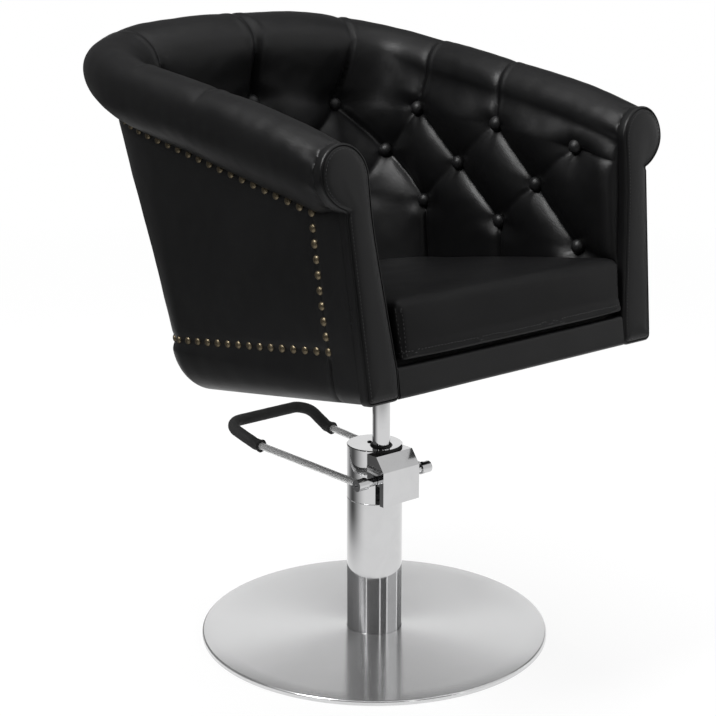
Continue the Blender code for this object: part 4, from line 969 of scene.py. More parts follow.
class Stations:
    """Places along the tub's U, counted from the middle of the back, with their outward directions."""

    def __init__(self, form: TubForm, along: Array) -> None:
        """Work out where each place lies.

        Args:
            form: Sizes of the tub.
            along: Distances along the U, negative on the sitter's right.
        """
        self.form, self.along = form, np.asarray(along, float)
        run = np.abs(self.along)
        straight = form.half_width - form.corner_width
        self.side = np.where(self.along < 0, -1.0, 1.0)
        self.back_share = np.minimum(run / straight, 1.0)
        self.turn = QUARTER * np.clip((run - straight) / form.corner_run(), 0.0, 1.0)
        self.arm_run = np.maximum(run - straight - form.corner_run(), 0.0)
        self.arm_share = np.minimum(self.arm_run / form.arm_length, 1.0)[:, None]
        self.to_front = form.arm_end() - run
        self.backness = np.cos(self.turn) ** 2
        out = np.stack([np.sin(self.turn) * form.corner_depth, np.cos(self.turn) * form.corner_width], 1)
        self.out = unit(out)

    def wall(self, z: Array) -> tuple[Array, Array]:
        """Outer leather's place at heights, on the sitter's left side.

        Args:
            z: Heights, one row for each station.

        Returns:
            Distances sideways and back.
        """
        form, turn = self.form, self.turn[:, None]
        half = form.half_width + form.side_flare * z
        half = half + form.corner_flare * (z - form.flare_level) * np.sin(2 * turn) ** 2
        back = form.back_depth + form.back_lean * z
        x = (half - form.corner_width) * self.back_share[:, None] + form.corner_width * np.sin(turn)
        y = form.corner_start + (back - form.corner_start) * np.cos(turn)
        return x, y - self.arm_share * (form.arm_length + form.front_lean * z)

    def inside(self, depth: Array, z: Array) -> tuple[Array, Array]:
        """X and Y in the tub's frame at depths inside the outer leather and at heights."""
        x, y = self.wall(z)
        return (x - depth * self.out[:, :1]) * self.side[:, None], y - depth * self.out[:, 1:]

    def points(self, depth: Array, z: Array) -> Array:
        """World places at depths inside the outer leather and at heights."""
        return self.form.world(np.stack([*self.inside(depth, z), z], -1))

    def outward(self) -> Array:
        """Level directions away from the tub."""
        return np.stack([self.out[:, 0] * self.side, self.out[:, 1], 0 * self.along], 1)

    def top_plan(self) -> tuple[Array, Array]:
        """Distances sideways and back of the wall at the crest's level."""
        x, y = self.wall(np.full((len(self.along), 1), self.form.crest_front))
        return x[:, 0], y[:, 0]

    def arch(self) -> Array:
        """How much higher the top is here than on the arms, from its arch across the back."""
        across = self.top_plan()[0] / (self.form.half_width + self.form.side_flare * self.form.crest_front)
        return self.form.crest_arch * (1 - np.minimum(across, 1.0) ** 2)

    def rearness(self) -> Array:
        """Share of the way from the arm's front to the back corner."""
        return np.clip(self.top_plan()[1] / self.form.corner_start, 0.0, 1.0)

    def crest(self) -> Array:
        """Trace the top roll's crest.

        Returns:
            Its heights.
        """
        form, back = self.form, self.top_plan()[1]
        ahead = 1 - np.clip(back / form.swell_run, 0.0, 1.0)
        return form.crest_front + form.crest_rise * back + form.crest_swell * (1 - ahead**2) + self.arch()

    def lip(self) -> Array:
        """Heights of the roll's outer lower lip."""
        neck = self.form.neck_rise * (1 - ease(0.0, self.form.neck_run, self.to_front))
        return self.form.lip_front + self.form.lip_rise * self.top_plan()[1] + self.arch() + neck

    def roll_seat(self) -> Array:
        """Heights at which the roll sits on the ply."""
        return self.crest() - blend(*self.form.roll_seat, self.backness)

    def roll_curve(self, over: int, under: int) -> tuple[Array, Array]:
        """Section of the top roll, from its inner belt over the crest to its outer lip.

        Args:
            over: Points over the top.
            under: Steps from the outer belt to the lip.

        Returns:
            Depths and heights, one row for each station.
        """
        form = self.form
        outer, inner = blend(*form.roll_out, self.rearness()), blend(*form.roll_in, self.backness)
        belt = self.crest() - form.roll_half_height
        turn = np.linspace(0.0, math.pi, over)[None, :]
        depth = ((inner - outer) / 2)[:, None] + ((inner + outer) / 2)[:, None] * np.cos(turn)
        z = belt[:, None] + form.roll_half_height * np.sin(turn)
        lip, drop = self.lip(), belt - self.lip()
        still = np.zeros_like(outer)
        tail = hermite((-outer, belt), (still + form.seam_draw, lip), (still, -1.3 * drop),
                       (still + 0.055, -0.35 * drop), np.linspace(0.0, 1.0, under + 1)[1:])
        return np.hstack([depth, tail[0]]), np.hstack([z, tail[1]])


@dataclass
class Upholstery(SubAssembly):
    """Base of the upholstered sub-assemblies, which share the tub's form."""

    form: TubForm


@dataclass(frozen=True)
class Fold:
    """How a fold draws the hide in: a broad sag and a sharp crease, by distances in tuft columns."""

    broad: float
    width: float

    @staticmethod
    def sag(away: Array) -> Array:
        """Sag that ends halfway to the next fold."""
        return (1 - 2 * np.minimum(np.abs(away), 0.5)) ** 2

    def draw(self, away: Array, hold: Array | float = 1.0) -> Array:
        """Share of the full depth, whose sag is held back by a share."""
        crease = np.exp(-np.abs(away) / self.width)
        return self.broad * hold * self.sag(away) + (1 - self.broad) * crease


@dataclass(frozen=True)
class HideSection:
    """Section of the tufted hide before its folds, one row for each station.

    Rows count tuft rows down from the top buttons. Folds may take some depth. Climb and passed are shares of
    the way from the top buttons to the roll and over the roll.
    """

    at: Stations
    depth: Array
    z: Array
    row: Array
    take: Array
    climb: Array
    passed: Array


@dataclass
class TuftedCover(Upholstery):
    """One hide over the inside of the tub and its rolled top, drawn in by buttons, folds and pleats."""

    columns: tuple[float, ...] = (0.0, 0.150, 0.282, 0.461, 0.628)
    pleat_lean: tuple[float, ...] = (0.0, 0.227, 0.10, 0.0, 0.0)
    row_back: float = 0.411
    row_fall: float = 0.058
    row_curve: float = 0.059
    row_drop: float = 0.152
    envelope: Pair = (0.067, 0.058)
    puff: Pair = (0.018, 0.023)
    roll_puff: float = 0.0065
    foot: float = 0.048
    foot_depth: float = 0.059
    foot_rise: float = 0.07
    ply_face: float = 0.0176
    lip_depth: float = 0.008
    step: float = 0.0034
    face_steps: tuple[int, int, int] = (24, 21, 21)
    neck_steps: int = 24
    roll_steps: tuple[int, int] = (52, 22)
    last_pleat: float = 3.0
    ridge_away: float = 0.055
    ridge_width: Pair = (0.026, 0.030)
    lip_height: float = 0.0020
    dimple: float = 0.0036
    dimple_radius: float = 0.011
    dimple_reach: float = 0.12
    pucker: float = 0.0011
    pucker_reach: float = 0.020
    pucker_start: Pair = (0.006, 0.014)
    pucker_folds: int = 6
    end_round: float = 0.026
    gather: float = 0.0013
    gather_run: float = 0.016
    gather_waves: float = 46.0
    button_radius: float = 0.0117
    button_rise: float = 0.0095
    button_lift: float = 0.0072
    button_foot: float = 0.004

    TUCK = Fold(0.70, 0.040)
    SOFT = Fold(0.72, 0.050)
    PLEAT = Fold(0.40, 0.036)
    WAVES = ((0.0012, 14.0, 3.1), (0.0005, 42.0, 8.7))

    @property
    def last(self) -> int:
        """Number of the last tuft column."""
        return len(self.columns) - 1

    def column_of(self, along: Array) -> Array:
        """Count distances along the U in tuft columns, without their side.

        Args:
            along: Distances along the U.

        Returns:
            Tuft columns from the middle of the back.
        """
        end, pitch = self.form.arm_end(), self.columns[-1] - self.columns[-2]
        counts = [*range(self.last + 1), self.last + (end - self.columns[-1]) / pitch]
        return np.interp(np.abs(along), [*self.columns, end], counts)

    def along_marks(self) -> Array:
        """Distances along the U at which the hide is drawn.

        Returns:
            Distances with a mark at every button.
        """
        between = np.convolve(self.columns, [0.5, 0.5], "valid")
        halves = np.sort(np.concatenate([self.columns, between, [self.form.arm_end()]]))
        marks = [np.zeros(1)]
        for first, last in zip(halves, halves[1:]):
            marks.append(np.linspace(first, last, max(2, round((last - first) / self.step)) + 1)[1:])
        right = np.concatenate(marks)
        return np.concatenate([-right[:0:-1], right])

    def row_top(self, along: Array) -> Array:
        """Height of the top row of buttons."""
        share = np.abs(along) / self.columns[-1]
        return self.row_back - self.row_fall * share - self.row_curve * share**2

    def fold_share(self, column: Array, row: Array, climb: Array) -> tuple[Array, Array]:
        """How far folds draw the hide in.

        Args:
            column: Tuft columns from the middle of the back.
            row: Tuft rows, 0 at the top buttons and 1 at the bottom ones.
            climb: Share of the way from the top buttons to the roll.

        Returns:
            Shares of the full depth, and the ridge of the tuck beside each fold.
        """
        inside, held = np.minimum(column, self.last), np.clip(row, 0.0, 1.0)
        tuck = inside - held - np.round(inside - held)
        soft = inside + held - np.round(inside + held)
        hold = 1 - 0.8 * ease(0.0, 0.35, column - self.last)
        fading = 0.34 + 0.66 * Fold.sag(tuck)
        diamond = 1 - (1 - self.TUCK.draw(tuck, hold)) * (1 - hold * fading * self.SOFT.draw(soft))
        leant = column - climb * np.interp(column, range(len(self.columns)), self.pleat_lean)
        away = np.where(leant > self.last_pleat, leant - self.last_pleat, leant - np.round(leant))
        leave = ease(0.0, 0.20, np.maximum(-row, row - 1.0))
        ridges = [bell(fold - self.ridge_away, width) for fold, width in zip((tuck, away), self.ridge_width)]
        ridge = blend(*ridges, leave) * np.where(column > self.last, 0.0, 1.0)
        return blend(diamond, self.PLEAT.draw(away), leave), ridge

    def button_places(self) -> list[Pair]:
        """Places of the buttons.

        Returns:
            Column, with its side, and row of every button.
        """
        places = []
        for row, shift in ((0.0, 0.0), (0.5, 0.5), (1.0, 0.0)):
            for column in np.arange(shift, self.last + 0.01 - shift):
                places += [(column, row)] if column == 0 else [(column, row), (-column, row)]
        return places

    def button_mark(self, column: float, row: float) -> Pair:
        """Distance along the U and height of a button."""
        along = math.copysign(np.interp(abs(column), range(len(self.columns)), self.columns), column)
        return along, self.row_top(np.array([along]))[0] - row * self.row_drop

    def section(self, along: Array) -> HideSection:
        """Draw the hide's section before the folds.

        Args:
            along: Distances along the U.

        Returns:
            The section.
        """
        form, at, top = self.form, Stations(self.form, along), self.row_top(along)
        full, puff = blend(*self.envelope, at.backness), blend(*self.puff, at.backness)
        foot, low, half = np.full_like(top, self.foot), top - self.row_drop, top - self.row_drop / 2
        faces = [foot[:, None]]
        for first, last, steps in zip((foot, low, half), (low, half, top), self.face_steps):
            faces.append(blend(first[:, None], last[:, None], np.linspace(0, 1, steps + 1)[None, 1:]))
        z_face = np.hstack(faces)
        depth_face = blend(self.foot_depth, full[:, None], ease(0.0, self.foot_rise, z_face - self.foot))
        belt, inner = at.crest() - form.roll_half_height, blend(*form.roll_in, at.backness)
        rise, still = belt - top, np.zeros_like(top)
        neck = hermite((full, top), (inner, belt), (still, rise), (still, rise),
                       np.linspace(0, 1, self.neck_steps + 1)[1:])
        roll_depth, roll_z = at.roll_curve(*self.roll_steps)
        depth = np.hstack([depth_face, neck[0], roll_depth[:, 1:]])
        z = np.hstack([z_face, neck[1], roll_z[:, 1:]])
        on_neck = depth_face.shape[1]
        on_roll = on_neck + self.neck_steps
        passed, climb = np.zeros_like(z), np.zeros_like(z)
        passed[:, on_roll:] = np.linspace(0, 1, z.shape[1] - on_roll)
        climb[:, on_neck:on_roll] = np.linspace(0, 1, self.neck_steps)
        climb[:, on_roll:] = 1.0
        row = (top[:, None] - z) / self.row_drop
        row[:, on_roll:] = np.minimum(row[:, on_roll:], -0.5)
        take = blend(puff[:, None], self.roll_puff, ease(0.0, 1.0, climb)) * (1 - ease(0.12, 0.62, passed))
        return HideSection(at, depth, z, row, take * ease(0.0, 0.05, z - self.foot), climb, passed)

    def sunk(self, hide: HideSection) -> Array:
        """How far folds, buttons, gathers and unevenness draw the hide in.

        Args:
            hide: Section before the folds.

        Returns:
            Depths square to the section.
        """
        at, z, along = hide.at, hide.z, hide.at.along[:, None]
        share, ridge = self.fold_share(np.repeat(self.column_of(along), z.shape[1], 1), hide.row, hide.climb)
        sunk = hide.take * share - self.lip_height * ridge * ease(0.0, 0.006, hide.take)
        for column, row in self.button_places():
            middle, height = self.button_mark(column, row)
            aside, up = along - middle, z - height
            reach = np.hypot(aside, up)
            near = (hide.passed < 1e-6) & (reach < self.dimple_reach)
            swirl = np.cos(self.pucker_folds * np.arctan2(up, aside) + 1.7 * column + 2.3 * row)
            crumple = self.pucker * swirl * np.exp(-reach / self.pucker_reach)
            crumple = crumple * ease(*self.pucker_start, reach)
            sunk += np.where(near, self.dimple * bell(reach, self.dimple_radius) + crumple, 0.0)
        calm = ease(0.0, 0.03, z - self.foot) * ease(0.0, 0.02, at.to_front)[:, None]
        sunk += unevenness(at.points(hide.depth, z), self.WAVES) * calm
        fading = (np.exp(-at.to_front / self.gather_run) * ease(0.0, 0.004, at.to_front))[:, None]
        gathers = self.gather * np.cos(hide.passed * self.gather_waves) * fading
        return sunk + np.where(hide.passed > 0, gathers, 0.0)

    def drawn(self, along: Array) -> tuple[Stations, Array, Array]:
        """Section of the hide with its folds, brought round to the arm fronts' inner edges.

        Args:
            along: Distances along the U.

        Returns:
            The stations, depths and heights.
        """
        hide = self.section(along)
        sunk = self.sunk(hide)
        slope_d, slope_z = np.gradient(hide.depth, axis=1), np.gradient(hide.z, axis=1)
        length = np.maximum(np.hypot(slope_d, slope_z), TINY)
        depth, z = hide.depth - sunk * slope_z / length, hide.z + sunk * slope_d / length
        panel = self.form.half_width + self.form.side_flare * z - ArmFront.inner_edge(z)
        near = np.clip(hide.at.to_front / self.end_round, 0.0, 1.0)
        met = blend(panel, depth, np.sqrt(1 - (1 - near) ** 2)[:, None])
        return hide.at, np.where(hide.passed > 0, depth, met), z

    def build(self) -> None:
        """Make the hide and its buttons."""
        at, depth, z = self.drawn(self.along_marks())
        lip, seat = z[:, -1:], at.roll_seat()[:, None]
        still = np.zeros_like(lip)
        depth = np.hstack([depth, *(still + d for d in (self.lip_depth,) * 2 + (self.ply_face,) * 2)])
        z = np.hstack([z, lip, seat, seat, still + self.foot])
        mesh = MeshMaker.skin(at.points(depth, z), smooth_angle=FOLD_ANGLE)
        self.dresser.piece("tufted_cover", mesh, Look.LEATHER, Body.SEAT, Slot.LEATHER,
                           ("inner_pad", "top_roll"), fill=0.8)
        radius = self.button_radius
        shape = Scatter("covered_buttons", (radius, radius, self.button_rise), (20, 12), spread=0.03, seed=11)
        found = [self.button_seat(column, row) for column, row in self.button_places()]
        # The buttons take the paler copy of the leather, a painted sheen.
        self.dresser.scatter("tuft_buttons", shape, found, Look.BUTTON_PAINTED_SHEEN, Slot.LEATHER)

    def button_seat(self, column: float, row: float) -> tuple[Array, Array]:
        """Find where a button sits in its dimple.

        Args:
            column: Its tuft column, with its side.
            row: Its tuft row.

        Returns:
            Its place and the direction that it faces.
        """
        along, height = self.button_mark(column, row)
        at, depth, z = self.drawn(np.array([along - self.button_foot, along, along + self.button_foot]))
        grid = at.points(depth, z)
        k = int(np.argmin(np.abs(z[1] - height)[:sum(self.face_steps) + 4]))
        face = unit(np.cross(grid[1, k + 5] - grid[1, k - 5], grid[2, k] - grid[0, k]))
        face = -face if face @ at.outward()[1] > 0 else face
        return grid[1, k] + face * self.button_lift, face


@dataclass
class OuterCover(Upholstery):
    """Leather round the outside: nailed panel, rounded lower band and the strips beside the arm fronts."""

    band_top: float = 0.068
    belly: float = 0.0022
    bulge: float = 0.005
    round_front: float = 0.018
    round_width: float = 0.060
    round_height: float = 0.050
    foot_depth: float = 0.072
    foot_height: float = 0.0095
    hang: Pair = (0.017, 0.005)
    shelf: float = 0.0297
    shelf_depth: float = 0.0345
    padding: float = 0.008
    lip_lap: float = 0.003
    nail_line: float = 0.073
    nail_drop: float = 0.0035
    groove: float = 0.0022
    groove_half: float = 0.0065
    slit: float = 0.0035
    slit_half: float = 0.0022
    nail_pitch: float = 0.0262
    upright_pitch: float = 0.0222
    nail_radius: float = 0.0065
    nail_rise: float = 0.0042
    tuck_rise: float = 0.004
    calm_run: float = 0.03
    stations: int = 190
    panel_points: int = 74
    drop_points: int = 12
    turn_points: int = 22

    WAVES = ((0.0011, 9.0, 21.3), (0.0004, 34.0, 5.2))
    SEAM_MARKS = (-0.005, -0.0035, -0.002, 0.0, 0.002, 0.0035, 0.005)

    @property
    def seam_run(self) -> float:
        """Distance from an arm's front to its upright nail line."""
        return self.nail_line - self.form.arm_start

    @property
    def seam(self) -> float:
        """Distance along the U of the upright nail lines."""
        return self.form.arm_end() - self.seam_run

    def drawn_in(self, at: Stations, depth: Array, z: Array) -> Array:
        """How far nails, seams and soft unevenness draw the leather in.

        Args:
            at: Stations along the U.
            depth: Depths of the plain leather.
            z: Heights, one row for each station.

        Returns:
            Depths of the grooves and waves.
        """
        away = (at.to_front - self.seam_run)[:, None]
        upright = bell(away, self.groove_half)
        top = bell(z - at.lip()[:, None] + self.nail_drop, self.groove_half)
        low = bell(z - self.band_top, self.groove_half) * ease(-0.004, 0.004, away)
        slit = bell(away, self.slit_half) * (1 - ease(self.band_top - 0.012, self.band_top, z))
        grooves = self.groove * np.maximum(np.maximum(upright, top), low) + self.slit * slit
        calm = ease(0.0, self.calm_run, at.to_front)[:, None]
        return grooves + unevenness(at.points(depth, z), self.WAVES) * calm

    def relief(self, at: Stations, z: Array) -> Array:
        """Depth of the panel's face, full in its middle and tucked in under the roll.

        Args:
            at: Stations along the U.
            z: Heights, one row for each station.

        Returns:
            Depths.
        """
        high = at.lip()[:, None] + self.tuck_rise
        share = np.clip((high - z) / (high - self.band_top), 0.0, 1.0)
        full = np.abs(np.sin(math.pi * share)) ** 0.7 * ease(0.0, self.calm_run, at.to_front)[:, None]
        return self.tuck_rise * (1 - ease(0.0, 0.05, share)) - self.belly * full

    def section(self, along: Array) -> tuple[Stations, Array, Array]:
        """Draw the leather's outer face from the roll's lip to under the tub.

        Args:
            along: Distances along the U.

        Returns:
            The stations, depths and heights.
        """
        at = Stations(self.form, along)
        steps = np.linspace(0.0, 1.0, self.panel_points)[None, :]
        z_panel = blend(at.lip()[:, None] + self.tuck_rise, self.band_top, steps)
        front = at.arm_share
        rounds = (self.round_width, self.round_height)
        width, height = (blend(size, self.round_front, front) for size in rounds)
        out, hang = self.bulge * (1 - front**2), blend(*self.hang, front)
        steps = np.linspace(0.0, 1.0, self.drop_points)[None, 1:-1]
        turn = math.pi + QUARTER * np.linspace(0.0, 1.0, self.turn_points)[None, :]
        depth = np.hstack([self.relief(at, z_panel), -out * ease(0.0, 1.0, steps),
                           width - out + width * np.cos(turn)])
        z = np.hstack([z_panel, blend(self.band_top, height, steps),
                       (height + hang) * (1 + np.sin(turn)) - hang])
        facing = np.ones_like(z)
        facing[:, -self.turn_points:] = np.maximum(-np.cos(turn), 0.15)
        return at, depth + self.drawn_in(at, depth, z) * facing, z

    def build(self) -> None:
        """Make the leather and its nails."""
        even = np.linspace(0.0, self.form.arm_end(), self.stations)
        half = np.unique(np.round([*even, *(self.seam + np.array(self.SEAM_MARKS))], 5))
        at, depth, z = self.section(np.concatenate([-half[:0:-1], half]))
        still = np.zeros((len(z), 1))
        path = ((self.foot_depth, self.foot_height), (self.shelf_depth, self.foot_height),
                (self.shelf_depth, self.shelf), (self.padding, self.shelf))
        depth = np.hstack([depth, still + self.foot_depth, *(still + d for d, _ in path),
                           still + self.padding])
        z = np.hstack([z, z[:, -1:], *(still + h for _, h in path), at.lip()[:, None] + self.lip_lap])
        mesh = MeshMaker.skin(at.points(depth, z), smooth_angle=HIDE_ANGLE)
        self.dresser.piece("outer_cover", mesh, Look.LEATHER, Body.SEAT, Slot.LEATHER,
                           ("outer_panel", "lower_band"), fill=0.5)
        size = (self.nail_radius, self.nail_radius, self.nail_rise)
        shape = Scatter("domed_nails", size, (14, 8), spread=0.04, seed=5)
        found = [self.surface(along, z) for along, z in self.nail_lines()]
        self.dresser.scatter("brass_nails", shape, found, Look.BRASS)

    def surface(self, along: Array, z: Array) -> tuple[Array, Array]:
        """Places on the leather and their outward directions.

        Args:
            along: Distances along the U.
            z: Height at each of them.

        Returns:
            World points and unit directions.
        """
        nudge, z = 0.002, z[:, None]
        at = Stations(self.form, along)
        plain = self.relief(at, z)
        depth = plain + self.drawn_in(at, plain, z)
        here = at.points(depth, z)[:, 0]
        aside = Stations(self.form, along + nudge).points(depth, z)[:, 0] - here
        face = unit(np.cross(aside, at.points(depth, z + nudge)[:, 0] - here))
        return here, face * np.sign(np.sum(face * at.outward(), 1))[:, None]

    def nail_lines(self) -> list[tuple[Array, Array]]:
        """Mark the nails along the roll, along the band and up both arm fronts.

        Returns:
            Distances along the U and heights, line by line.
        """
        lines, dense = [], np.linspace(-self.seam, self.seam, 900)
        for z in (Stations(self.form, dense).lip() - self.nail_drop, np.full_like(dense, self.band_top)):
            lengths = run_lengths(self.surface(dense, z)[0])
            wanted = np.linspace(0.0, lengths[-1], round(lengths[-1] / self.nail_pitch) + 1)
            lines.append((np.interp(wanted, lengths, dense), np.interp(wanted, lengths, z)))
        for side in (-1.0, 1.0):
            end = Stations(self.form, np.array([side * self.seam])).lip()[0] - self.nail_drop
            count = round((end - self.band_top) / self.upright_pitch)
            z = np.linspace(self.band_top, end, count + 1)[1:-1]
            lines.append((np.full_like(z, side * self.seam), z))
        return lines


@dataclass
class ArmFront(Upholstery):
    """Padded keyhole panels that close the front ends of the arms, with their sewn seams."""

    foot_corner: float = 0.0095
    foot_hang: float = 0.005
    corner_points: int = 9
    wall_gap: float = 0.004
    wall_points: int = 30
    roll_steps: tuple[int, int] = (40, 16)
    inner_points: int = 44
    pitch: float = 0.0033
    stitch_inset: float = 0.0078
    stitch_pitch: float = 0.0052
    stitch_depth: float = -0.0006

    INNER_EDGE = ((0.0, 0.222), (0.0377, 0.222), (0.10, 0.2296), (0.18, 0.2388), (0.22, 0.2430),
                  (0.252, 0.2450), (0.299, 0.2455))
    MIDDLE = ((0.032, 0.2522), (0.10, 0.2575), (0.18, 0.264), (0.252, 0.2715), (0.299, 0.2870))
    EDGE_PROFILE = ((0.0, 0.0150), (0.0, 0.0046), (0.0006, 0.0026), (0.0018, 0.0012), (0.0030, 0.0009),
                    (0.0038, 0.0022), (0.0047, 0.0009), (0.0064, -0.0003))
    FACE_PROFILE = ((0.28, -0.0015), (0.60, -0.0024))
    STITCH = Scatter("panel_stitches", (0.0017, 0.00038, 0.00032), (6, 4), spread=0.06, seed=3,
                     lay_along=True)

    @classmethod
    def inner_edge(cls, z: Array) -> Array:
        """Distance sideways of the panel's inner edge at heights."""
        heights, sides = zip(*cls.INNER_EDGE)
        return np.interp(z, heights, sides)

    def outline(self) -> Array:
        """Draw the keyhole on the sitter's left side.

        Returns:
            X and Z points.
        """
        form, half, foot = self.form, self.form.half_width, self.foot_corner
        depth, z = Stations(form, np.array([form.arm_end()])).roll_curve(*self.roll_steps)
        roll = np.stack([half + form.side_flare * z[0] - depth[0], z[0]], 1)[::-1]
        near = arc((self.inner_edge(0.0) + foot, foot), foot, math.pi, 1.5 * math.pi, self.corner_points)
        far = arc((half - foot, foot), foot, -QUARTER, 0.0, self.corner_points)
        feet = np.vstack([near, far]) - [0.0, self.foot_hang]
        wall_z = np.linspace(foot + self.wall_gap, roll[0, 1] - self.wall_gap, self.wall_points)
        wall = np.stack([half + form.side_flare * wall_z, wall_z], 1)
        inner_z = np.linspace(roll[-1, 1], foot, self.inner_points)[1:-1]
        inner = np.stack([self.inner_edge(inner_z), inner_z], 1)
        return even_path(np.vstack([feet, wall, roll, inner]), self.pitch, closed=True)

    def middle(self, points: Array) -> Array:
        """Find the place on the panel's middle line that each outline point closes towards.

        Args:
            points: X and Z points of the outline.

        Returns:
            X and Z points.
        """
        heights, sides = zip(*self.MIDDLE)
        z = np.clip(points[:, 1], heights[0], heights[-1])
        return np.stack([np.interp(z, heights, sides), z], 1)

    @staticmethod
    def inset(points: Array, distance: float) -> Array:
        """Move outline points square to the outline, inwards.

        Args:
            points: X and Z points of the outline.
            distance: How far they move.

        Returns:
            X and Z points.
        """
        inward = inward_normals(points, 3)
        inward = inward + 0.5 * (np.roll(inward, 1, 0) + np.roll(inward, -1, 0))
        return points + distance * unit(inward)

    def place(self, flat: Array, y: float, side: float) -> Array:
        """Set panel points into the world."""
        level = y - self.form.front_lean * flat[:, 1]
        return self.form.world(np.stack([side * flat[:, 0], level, flat[:, 1]], 1))

    def stitches(self, outline: Array) -> list[tuple[Array, Array, Array]]:
        """Mark a row of stitches inside each panel's seam.

        Args:
            outline: X and Z points of the keyhole.

        Returns:
            Places, faces and aims, panel by panel.
        """
        row = even_path(self.inset(outline, self.stitch_inset), self.stitch_pitch, closed=True)
        ahead = self.form.world(np.array([0.0, -1.0, 0.0])) - self.form.world(np.zeros(3))
        rows = [self.place(row, self.stitch_depth, side) for side in (1.0, -1.0)]
        return [(sewn, np.tile(ahead, (len(sewn), 1)), path_tangents(sewn)) for sewn in rows]

    def build(self) -> None:
        """Make both panels and the stitches along their edges."""
        outline = self.outline()
        edge, ridge = self.inset(outline, self.EDGE_PROFILE[-1][0]), self.middle(outline)
        for name, side in (("left", 1.0), ("right", -1.0)):
            rings = [self.place(self.inset(outline, draw), y, side) for draw, y in self.EDGE_PROFILE]
            rings += [self.place(blend(edge, ridge, share), y, side) for share, y in self.FACE_PROFILE]
            mesh = MeshMaker.skin(np.array(rings), smooth_angle=HIDE_ANGLE)
            self.dresser.piece("arm_panel_" + name, mesh, Look.LEATHER, Body.SEAT, Slot.LEATHER,
                               ("arm_front_" + name,), fill=0.7)
        self.dresser.scatter("arm_panel_stitches", self.STITCH, self.stitches(outline), Look.THREAD)


